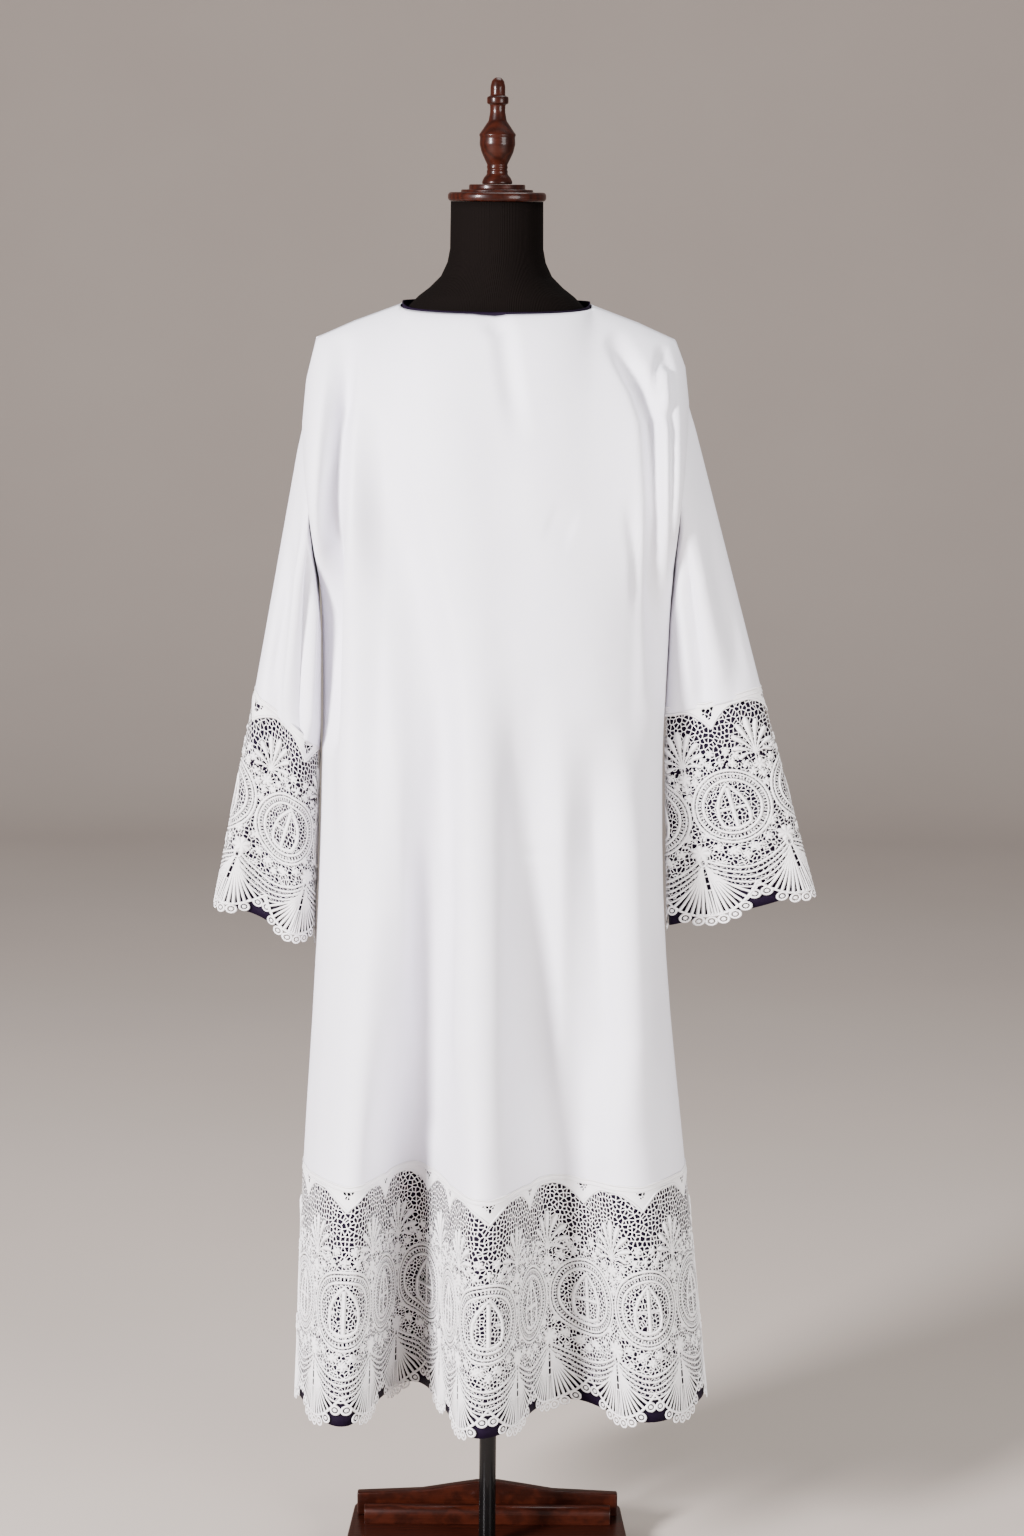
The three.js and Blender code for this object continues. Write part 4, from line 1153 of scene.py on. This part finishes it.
# %% Turned pieces
PROFILES = {
    "neck_cap": [(0, 1686.7), (55, 1686.7), (57.4, 1689), (57.4, 1694.5), (55, 1697), (42, 1697), (42, 1700),
                 (32.8, 1700.2), (32.8, 1706), (0, 1706)],
    "finial": [(0, 1706.3), (17.4, 1706.3), (17.8, 1709), (15.5, 1714), (12, 1718), (12.4, 1721), (11.4, 1723.2),
               (12.4, 1725.5), (11.6, 1728.4), (14.5, 1734), (18.6, 1743), (20.8, 1752), (20.4, 1760), (21.6, 1763),
               (18, 1768), (10.5, 1779), (8.8, 1789), (8.9, 1797), (12.5, 1798.5), (12.5, 1806), (8.6, 1807.5),
               (8.6, 1818), (7, 1824.5), (3.4, 1828), (0, 1828.6)],
    "pole": [(0, 30.3), (10.5, 30.3), (10.5, 819.7), (0, 819.7)],
    "pole_collar": [(10.8, 30.3), (26, 30.3), (26, 33), (20, 38), (10.8, 38)],
}
CORNER = 0.8


def cut_corners(profile, closed=False):
    """Replaces each corner by two points near it, no more than a little way along its sides."""
    points = [np.array(p, float) for p in profile]
    smooth = [] if closed else [points[0]]
    pairs = zip(points, points[1:] + points[:1]) if closed else zip(points[:-1], points[1:])
    for a, b in pairs:
        share = min(0.25, CORNER / max(np.linalg.norm(b - a), 1e-6))
        smooth += [mix(a, b, share), mix(b, a, share)]
    return smooth if closed else smooth + [points[-1]]


def turned(name, profile, material_name, closed=False):
    for _ in range(2):
        profile = cut_corners(profile, closed)
    lathe = bmesh.new()
    verts = [lathe.verts.new((radius * MM, 0, z * MM)) for radius, z in profile]
    edges = [lathe.edges.new(pair) for pair in zip(verts[:-1], verts[1:])]
    if closed:
        edges.append(lathe.edges.new((verts[-1], verts[0])))
    bmesh.ops.spin(lathe, geom=[*verts, *edges], cent=(0, 0, 0), axis=(0, 0, 1), angle=2 * math.pi,
                   steps=64, use_merge=True)
    bmesh.ops.remove_doubles(lathe, verts=lathe.verts, dist=1e-6)
    return made(name, lathe, material_name)


turned_pieces = {
    "neck_cap": turned("turned_cap", PROFILES["neck_cap"], "wood"),
    "finial": turned("turned_finial", PROFILES["finial"], "wood"),
    "pole": turned("stand_pole", PROFILES["pole"], "pole"),
    "pole_collar": turned("stand_collar", PROFILES["pole_collar"], "pole", closed=True),
}
print("turned pieces:", len(turned_pieces))

# %% [markdown]
# The base is three pieces of polished wood: a board with rounded corners, a round-topped rail, and an
# arched board across the back. Each starts as a flat face that is extruded, and bevels round its
# edges, since no real board has a knife edge.

# %% Base boards
BASE = {"front_half": 186, "back_half": 170, "front": -150, "back": 150, "corner": 18, "thick": 30}
RAIL = {"half": 156, "radius": 11, "y": 82, "foot": 30.3}
BOARD = {"half": 166, "thick": 14, "y": 112, "foot": 30.3}
ARCH = [
    {"x": 0, "height": 46},
    {"x": 12, "height": 45.4},
    {"x": 23, "height": 43.8},
    {"x": 50, "height": 39.5},
    {"x": 83, "height": 34},
    {"x": 166, "height": 30},
]


def board_piece(name, work):
    piece = made(name, work, "wood")
    piece.data.set_sharp_from_angle(angle=math.radians(40))
    return piece


def extruded(work, direction):
    grown = bmesh.ops.extrude_face_region(work, geom=list(work.faces))["geom"]
    bmesh.ops.translate(work, vec=[v * MM for v in direction], verts=verts_of(grown))


def plinth_board():
    board = bmesh.new()
    bmesh.ops.create_grid(board, x_segments=1, y_segments=1, size=1)
    for vert in board.verts:
        half = BASE["front_half"] if vert.co.y < 0 else BASE["back_half"]
        vert.co = (math.copysign(half, vert.co.x) * MM, (BASE["front"] if vert.co.y < 0 else BASE["back"]) * MM, 0)
    bmesh.ops.bevel(board, geom=list(board.verts), offset=BASE["corner"] * MM, segments=8, profile=0.5,
                    affect="VERTICES", material=-1)
    extruded(board, (0, 0, BASE["thick"]))
    rim = [edge for edge in board.edges if abs(edge.verts[0].co.z - edge.verts[1].co.z) < 1e-6]
    bmesh.ops.bevel(board, geom=rim, offset=2.5 * MM, segments=4, profile=0.5, affect="EDGES", material=-1)
    return board_piece("plinth", board)


def rail_bar():
    bar = bmesh.new()
    bmesh.ops.create_circle(bar, cap_ends=True, segments=32, radius=RAIL["radius"] * MM)
    for vert in bar.verts:
        if vert.co.y < 0:
            vert.co.y = -RAIL["radius"] * MM
            vert.co.x = math.copysign(min(abs(vert.co.x) * 1.6, RAIL["radius"] * MM), vert.co.x)
    bmesh.ops.remove_doubles(bar, verts=bar.verts, dist=1e-5)
    extruded(bar, (0, 0, 2 * RAIL["half"]))
    ends = [edge for edge in bar.edges if abs(edge.verts[0].co.z - edge.verts[1].co.z) < 1e-6]
    bmesh.ops.bevel(bar, geom=ends, offset=1.2 * MM, segments=3, profile=0.5, affect="EDGES", material=-1)
    place = Matrix(((0, 0, 1, -RAIL["half"] * MM), (1, 0, 0, RAIL["y"] * MM),
                    (0, 1, 0, (RAIL["foot"] + RAIL["radius"]) * MM), (0, 0, 0, 1)))
    bmesh.ops.transform(bar, matrix=place, verts=bar.verts)
    return board_piece("rail", bar)


def arch_board():
    board = bmesh.new()
    bmesh.ops.create_grid(board, x_segments=48, y_segments=1, size=1)
    for vert in board.verts:
        x = vert.co.x * BOARD["half"]
        arch = column(ARCH, "x", abs(x), "height")
        vert.co = (x * MM, 0, (BOARD["foot"] + (arch if vert.co.y > 0 else 0)) * MM)
    extruded(board, (0, -BOARD["thick"], 0))
    bmesh.ops.translate(board, vec=(0, BOARD["y"] * MM, 0), verts=board.verts)
    bmesh.ops.recalc_face_normals(board, faces=board.faces)
    rim = [edge for edge in board.edges if len(edge.link_faces) == 2 and edge.calc_face_angle() > 1]
    bmesh.ops.bevel(board, geom=rim, offset=2.2 * MM, segments=4, profile=0.5, affect="EDGES", material=-1)
    return board_piece("back_board", board)


base_pieces = {"base_plinth": plinth_board(), "base_rail": rail_bar(), "base_back_board": arch_board()}
for name, piece in base_pieces.items():
    low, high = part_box(name)
    print(name, "CAD", [round(v, 3) for v in low], [round(v, 3) for v in high])

# %% [markdown]
# ## Materials
# The finishes share two effects, each a node group with named inputs and outputs. The groups put out
# only masks and heights. The shader itself stays in each material, where its values can be seen.

# %% Node helpers
def add_node(tree, kind, **settings):
    item = tree.nodes.new(kind)
    for name, value in settings.items():
        setattr(item, name, value)
    return item


def math_node(tree, operation, first, second=None, third=None):
    item = add_node(tree, "ShaderNodeMath", operation=operation)
    for socket, value in zip(item.inputs, (first, second, third)):
        if value is None:
            continue
        if isinstance(value, (int, float)):
            socket.default_value = value
        else:
            tree.links.new(value, socket)
    return item.outputs[0]


def new_group(name, inputs, outputs):
    group = bpy.data.node_groups.new(name, "ShaderNodeTree")
    for label, kind, value in inputs:
        socket = group.interface.new_socket(label, in_out="INPUT", socket_type=kind)
        if value is not None:
            socket.default_value = value
    for label in outputs:
        group.interface.new_socket(label, in_out="OUTPUT", socket_type="NodeSocketFloat")
    return group, group.nodes.new("NodeGroupInput"), group.nodes.new("NodeGroupOutput")


def noise(tree, vector, scale, detail=3.0, rough=0.5):
    item = add_node(tree, "ShaderNodeTexNoise")
    item.inputs["Scale"].default_value = scale
    item.inputs["Detail"].default_value = detail
    item.inputs["Roughness"].default_value = rough
    tree.links.new(vector, item.inputs["Vector"])
    return item.outputs["Fac"]


print("node helpers are ready")

# %% [markdown]
# Plain weave: threads cross over and under, so the height is a product of two waves, one along each
# direction of the cloth. The group also gives a slow tone, because no bolt of cloth is quite even.

# %% Weave group
weave, weave_in, weave_out = new_group(
    "plain_weave",
    [("Vector", "NodeSocketVector", None), ("Threads per metre", "NodeSocketFloat", 1400.0)],
    ["Height", "Tone"],
)
split = add_node(weave, "ShaderNodeSeparateXYZ")
weave.links.new(weave_in.outputs["Vector"], split.inputs[0])
waves = []
for axis in ("X", "Y"):
    turns = math_node(weave, "MULTIPLY", split.outputs[axis], weave_in.outputs["Threads per metre"])
    waves.append(math_node(weave, "SINE", math_node(weave, "MULTIPLY", turns, math.pi)))
weave.links.new(math_node(weave, "MULTIPLY", *waves), weave_out.inputs["Height"])
weave.links.new(noise(weave, weave_in.outputs["Vector"], 9.0, 4.0, 0.6), weave_out.inputs["Tone"])
print("weave group sockets:", len(weave.interface.items_tree))

# %% [markdown]
# Wood grain: long fibres along the board with darker pores. Stretched noise drives both, and the
# group gives a tone for the colour and a height for the pores.

# %% Grain group
grain, grain_in, grain_out = new_group(
    "wood_grain",
    [("Vector", "NodeSocketVector", None), ("Scale", "NodeSocketFloat", 40.0)],
    ["Tone", "Pores"],
)
bands = add_node(grain, "ShaderNodeTexWave", wave_type="BANDS", bands_direction="Y")
grain.links.new(grain_in.outputs["Vector"], bands.inputs["Vector"])
grain.links.new(grain_in.outputs["Scale"], bands.inputs["Scale"])
bands.inputs["Distortion"].default_value = 7.0
bands.inputs["Detail"].default_value = 3.0
bands.inputs["Detail Scale"].default_value = 1.2
fibre = add_node(grain, "ShaderNodeMapping")
fibre.inputs["Scale"].default_value = (1, 14, 14)
grain.links.new(grain_in.outputs["Vector"], fibre.inputs["Vector"])
streaks = noise(grain, fibre.outputs[0], 26.0, 5.0, 0.65)
fine = math_node(grain, "MULTIPLY", streaks, 0.6)
grain.links.new(math_node(grain, "MULTIPLY_ADD", bands.outputs["Fac"], 0.45, fine), grain_out.inputs["Tone"])
grain.links.new(streaks, grain_out.inputs["Pores"])
print("grain group sockets:", len(grain.interface.items_tree))

# %% [markdown]
# A finish is one material with a Principled shader. The helper below sets the plain numbers on the
# shader's own sockets and returns the tree, so each finish adds only what varies over its surface.
# Patterns sit on the flat cut of a cloth piece, or else on the place in the object.

# %% Finish helper
materials = {}


def finish(name, **values):
    material = bpy.data.materials.new(name)
    material.use_nodes = True
    tree = material.node_tree
    shader = tree.nodes["Principled BSDF"]
    for label, value in values.items():
        shader.inputs[label.replace("_", " ")].default_value = value
    materials[name] = material
    return tree, shader


def blend_colours(tree, share, dark, light):
    ramp = add_node(tree, "ShaderNodeValToRGB")
    ramp.color_ramp.elements[0].color = (*dark, 1)
    ramp.color_ramp.elements[1].color = (*light, 1)
    tree.links.new(share, ramp.inputs["Fac"])
    return ramp.outputs["Color"]


def bump(tree, shader, height, distance, strength=1.0):
    item = add_node(tree, "ShaderNodeBump")
    item.inputs["Distance"].default_value = distance
    item.inputs["Strength"].default_value = strength
    tree.links.new(height, item.inputs["Height"])
    tree.links.new(item.outputs["Normal"], shader.inputs["Normal"])


def use_group(tree, group, vector, **values):
    item = add_node(tree, "ShaderNodeGroup", node_tree=group)
    tree.links.new(vector, item.inputs["Vector"])
    for label, value in values.items():
        item.inputs[label.replace("_", " ")].default_value = value
    return item


def spread(tree, value, low, high):
    item = add_node(tree, "ShaderNodeMapRange")
    item.inputs["To Min"].default_value = low
    item.inputs["To Max"].default_value = high
    tree.links.new(value, item.inputs["Value"])
    return item.outputs[0]


def flat_cut(tree):
    return add_node(tree, "ShaderNodeUVMap", uv_map="cut").outputs[0]


def object_place(tree):
    return add_node(tree, "ShaderNodeTexCoord").outputs["Object"]


def paint(tree, shader, share, dark, light):
    tree.links.new(blend_colours(tree, share, dark, light), shader.inputs["Base Color"])


def roughen(tree, shader, share, low, high):
    tree.links.new(spread(tree, share, low, high), shader.inputs["Roughness"])


print("finish helper is ready")

# %% [markdown]
# White cotton with a satin face: cool white with a faint lilac in it, a soft sheen, a fine weave, and
# the gentle unevenness of ironed cloth.

# %% Cotton
tree, shader = finish("cloth", Specular_IOR_Level=0.3)
place = object_place(tree)
threads = use_group(tree, weave, flat_cut(tree), Threads_per_metre=1500.0)
paint(tree, shader, threads.outputs["Tone"], (0.74, 0.725, 0.79), (0.82, 0.805, 0.865))
roughen(tree, shader, noise(tree, place, 14.0), 0.46, 0.62)
ironed = math_node(tree, "MULTIPLY", noise(tree, place, 11.0, 2.0), 5.0)
height = math_node(tree, "MULTIPLY_ADD", threads.outputs["Height"], 0.10, ironed)
bump(tree, shader, height, 0.0008, 0.5)
print("cotton is ready")

# %% [markdown]
# Lace thread: a warmer, brighter white, matt, with a fine weave in its bump. The net uses the same colour. Its alpha
# comes from the borders of Voronoi cells, drawn as wide as the painted mask says.

# %% Lace finishes
LACE_DARK, LACE_LIGHT = (0.86, 0.835, 0.84), (0.94, 0.92, 0.925)


def lace_yarn(tree, shader, uv):
    threads = use_group(tree, weave, uv, Threads_per_metre=1100.0)
    paint(tree, shader, threads.outputs["Tone"], LACE_DARK, LACE_LIGHT)
    bump(tree, shader, threads.outputs["Height"], 0.0004, 0.6)


tree, shader = finish("thread", Roughness=0.72, Sheen_Weight=0.15, Specular_IOR_Level=0.3)
lace_yarn(tree, shader, flat_cut(tree))

tree, shader = finish("net", Roughness=0.75, Specular_IOR_Level=0.3)
uv = flat_cut(tree)
lace_yarn(tree, shader, uv)
cells = {}
for label, scale, randomness in (("net", 175.0, 0.85), ("field", 215.0, 1.0)):
    item = add_node(tree, "ShaderNodeTexVoronoi", feature="DISTANCE_TO_EDGE", voronoi_dimensions="2D")
    item.inputs["Scale"].default_value = scale
    item.inputs["Randomness"].default_value = randomness
    tree.links.new(uv, item.inputs["Vector"])
    cells[label] = item.outputs["Distance"]
field = add_node(tree, "ShaderNodeAttribute", attribute_name="field").outputs["Fac"]
work = add_node(tree, "ShaderNodeAttribute", attribute_name="work").outputs["Fac"]
chosen = math_node(tree, "ADD", math_node(tree, "MULTIPLY", cells["field"], field),
                   math_node(tree, "MULTIPLY", cells["net"], math_node(tree, "SUBTRACT", 1.0, field)))
reach = math_node(tree, "MULTIPLY", math_node(tree, "POWER", work, 1.6), 0.6)
thread = math_node(tree, "GREATER_THAN", reach, chosen)
worked = math_node(tree, "GREATER_THAN", work, HIDDEN_BELOW)
tree.links.new(math_node(tree, "MULTIPLY", thread, worked), shader.inputs["Alpha"])
print("lace finishes are ready")

# %% [markdown]
# The lining and the facing are a very dark violet. The form's jersey is nearly black, with a fine
# knit. The wood is mahogany under a glossy varnish, and the pole is black enamel.

# %% Dark finishes
tree, shader = finish("lining", Specular_IOR_Level=0.05)
threads = use_group(tree, weave, flat_cut(tree), Threads_per_metre=1300.0)
paint(tree, shader, threads.outputs["Tone"], (0.0035, 0.0014, 0.006), (0.009, 0.004, 0.015))
roughen(tree, shader, threads.outputs["Tone"], 0.42, 0.6)
bump(tree, shader, threads.outputs["Height"], 0.0004, 0.5)

tree, shader = finish("jersey", Specular_IOR_Level=0.03)
threads = use_group(tree, weave, object_place(tree), Threads_per_metre=900.0)
paint(tree, shader, threads.outputs["Tone"], (0.002, 0.0013, 0.0011), (0.004, 0.0028, 0.0024))
roughen(tree, shader, threads.outputs["Tone"], 0.75, 0.92)
bump(tree, shader, threads.outputs["Height"], 0.0005, 0.5)

tree, shader = finish("wood", Coat_Weight=0.12, Coat_Roughness=0.1, Specular_IOR_Level=0.1)
fibres = use_group(tree, grain, object_place(tree), Scale=38.0)
paint(tree, shader, fibres.outputs["Tone"], (0.0045, 0.001, 0.0006), (0.03, 0.0055, 0.0022))
roughen(tree, shader, fibres.outputs["Pores"], 0.25, 0.45)
bump(tree, shader, fibres.outputs["Pores"], 0.0003, 0.4)

tree, shader = finish("pole", Coat_Weight=0.2, Specular_IOR_Level=0.15)
wear = noise(tree, object_place(tree), 30.0, 5.0, 0.6)
paint(tree, shader, wear, (0.0015, 0.0015, 0.0015), (0.004, 0.0036, 0.0036))
roughen(tree, shader, wear, 0.14, 0.3)
print("finishes:", sorted(materials))

# %% [markdown]
# ## Putting it together
# Each piece gets its finish, rides with the frame, and stands for its CAD node.

# %% Finishes on the pieces
for piece_name, material_name in materials_wanted.items():
    bpy.data.objects[piece_name].data.materials.clear()
    bpy.data.objects[piece_name].data.materials.append(materials[material_name])
print("pieces with a finish:", len(materials_wanted))

# %% Pieces and their nodes
STANDS_FOR = [
    (panels["front"], "cloth", ["alb_front"]),
    (panels["back"], "cloth", ["alb_back"]),
    (sleeves["left"], "cloth", ["sleeve_left"]),
    (sleeves["right"], "cloth", ["sleeve_right"]),
    (neck_facing, "lining", ["neck_facing"]),
    (hem_nets["front"], "lace", ["hem_lace_front"]),
    (hem_nets["back"], "lace", ["hem_lace_back"]),
    (cuff_nets["left"], "lace", ["cuff_lace_left_front", "cuff_lace_left_back"]),
    (cuff_nets["right"], "lace", ["cuff_lace_right_front", "cuff_lace_right_back"]),
    (hem_lining, "lining", ["hem_lining"]),
    (cuff_linings["left"], "lining", ["cuff_lining_left"]),
    (cuff_linings["right"], "lining", ["cuff_lining_right"]),
    (bust, "jersey", ["form_torso"]),
    *[(piece, "pole" if "pole" in node else "wood", [node]) for node, piece in turned_pieces.items()],
    *[(piece, "wood", [node]) for node, piece in base_pieces.items()],
    *[(piece, "lace", []) for piece in [*hem_motifs.values(), *cuff_motifs.values()]],
]
for piece, slot, nodes in STANDS_FOR:
    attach(piece, "root")
    if nodes:
        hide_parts(*nodes)
print("pieces that ride:", len(STANDS_FOR))

# %% [markdown]
# The cut of each cloth piece: its area in square metres. The panels are narrow at the chest and wide at the hem, so
# their area is well under that of the rectangle they are cut from.

# %% Cut of the cloth
def area_of(piece):
    return sum(face.area for face in piece.data.polygons)


for piece in [*panels.values(), *sleeves.values(), neck_facing, *hem_nets.values(), *cuff_nets.values(),
              hem_lining, *cuff_linings.values()]:
    print("area of", piece.name, round(area_of(piece), 4))

# %% [markdown]
# ## Studio
# A pale floor that curves up into the wall, a large soft light from the front left, a weaker one
# from the right, and an even pale world keep the white cloth readable without hard shadows. The
# lights stand well to the sides, because light that grazes the cloth is what shows its folds, and
# each aims at a height on the garment's axis. The wall is far enough away for a camera to pass
# behind the garment.

# %% Floor and lights
STUDIO = {"half": 9.0, "front": -9.0, "wall": 7.6, "rise": 6.0, "bend": 2.8}
floor_work = bmesh.new()
bmesh.ops.create_grid(floor_work, x_segments=1, y_segments=1, size=1)
for vert in floor_work.verts:
    vert.co = (vert.co.x * STUDIO["half"], STUDIO["front"] if vert.co.y < 0 else STUDIO["wall"], 0)
back_edge = [edge for edge in floor_work.edges if all(v.co.y > 0 for v in edge.verts)]
wall = bmesh.ops.extrude_edge_only(floor_work, edges=back_edge)["geom"]
bmesh.ops.translate(floor_work, vec=(0, 0, STUDIO["rise"]), verts=verts_of(wall))
bend = [edge for edge in floor_work.edges if all(v.co.y > 0 and v.co.z < 0.1 for v in edge.verts)]
bmesh.ops.bevel(floor_work, geom=bend, offset=STUDIO["bend"], segments=32, profile=0.5, affect="EDGES", material=-1)
floor_mesh = bpy.data.meshes.new("studio")
floor_work.to_mesh(floor_mesh)
floor_work.free()
floor = bpy.data.objects.new("studio", floor_mesh)
bpy.context.scene.collection.objects.link(floor)
floor_mesh.shade_smooth()
tree, shader = finish("paper", Roughness=0.9)
paint(tree, shader, noise(tree, object_place(tree), 1.5), (0.40, 0.345, 0.305), (0.44, 0.385, 0.34))
floor_mesh.materials.append(materials["paper"])

LIGHTS = [
    {"name": "key", "place": (-3.0, -3.0, 2.2), "aim": 0.9, "size": 1.0, "power": 810, "colour": (1.0, 0.965, 0.99)},
    {"name": "fill", "place": (2.8, -3.2, 1.4), "aim": 0.8, "size": 2.0, "power": 250, "colour": (1.0, 0.98, 0.97)},
    {"name": "top", "place": (0.3, 0.6, 3.6), "aim": 1.2, "size": 1.6, "power": 60, "colour": (1.0, 1.0, 1.0)},
]
for light in LIGHTS:
    lamp = bpy.data.lights.new(light["name"], "AREA")
    lamp.shape = "DISK"
    lamp.size = light["size"]
    lamp.energy = light["power"]
    lamp.color = light["colour"]
    holder = bpy.data.objects.new(light["name"], lamp)
    bpy.context.scene.collection.objects.link(holder)
    direction = np.array([0, 0, light["aim"]]) - light["place"]
    yaw = math.atan2(direction[1], direction[0]) - math.pi / 2
    tilt = math.acos(-direction[2] / np.linalg.norm(direction))
    place = Matrix.Translation(light["place"])
    holder.matrix_world = place @ Matrix.Rotation(yaw, 4, "Z") @ Matrix.Rotation(tilt, 4, "X")

world = bpy.data.worlds.new("studio_world")
world.use_nodes = True
world.node_tree.nodes["Background"].inputs["Color"].default_value = (0.94, 0.92, 0.94, 1)
world.node_tree.nodes["Background"].inputs["Strength"].default_value = 0.32
bpy.context.scene.world = world
print("lights:", len(LIGHTS))
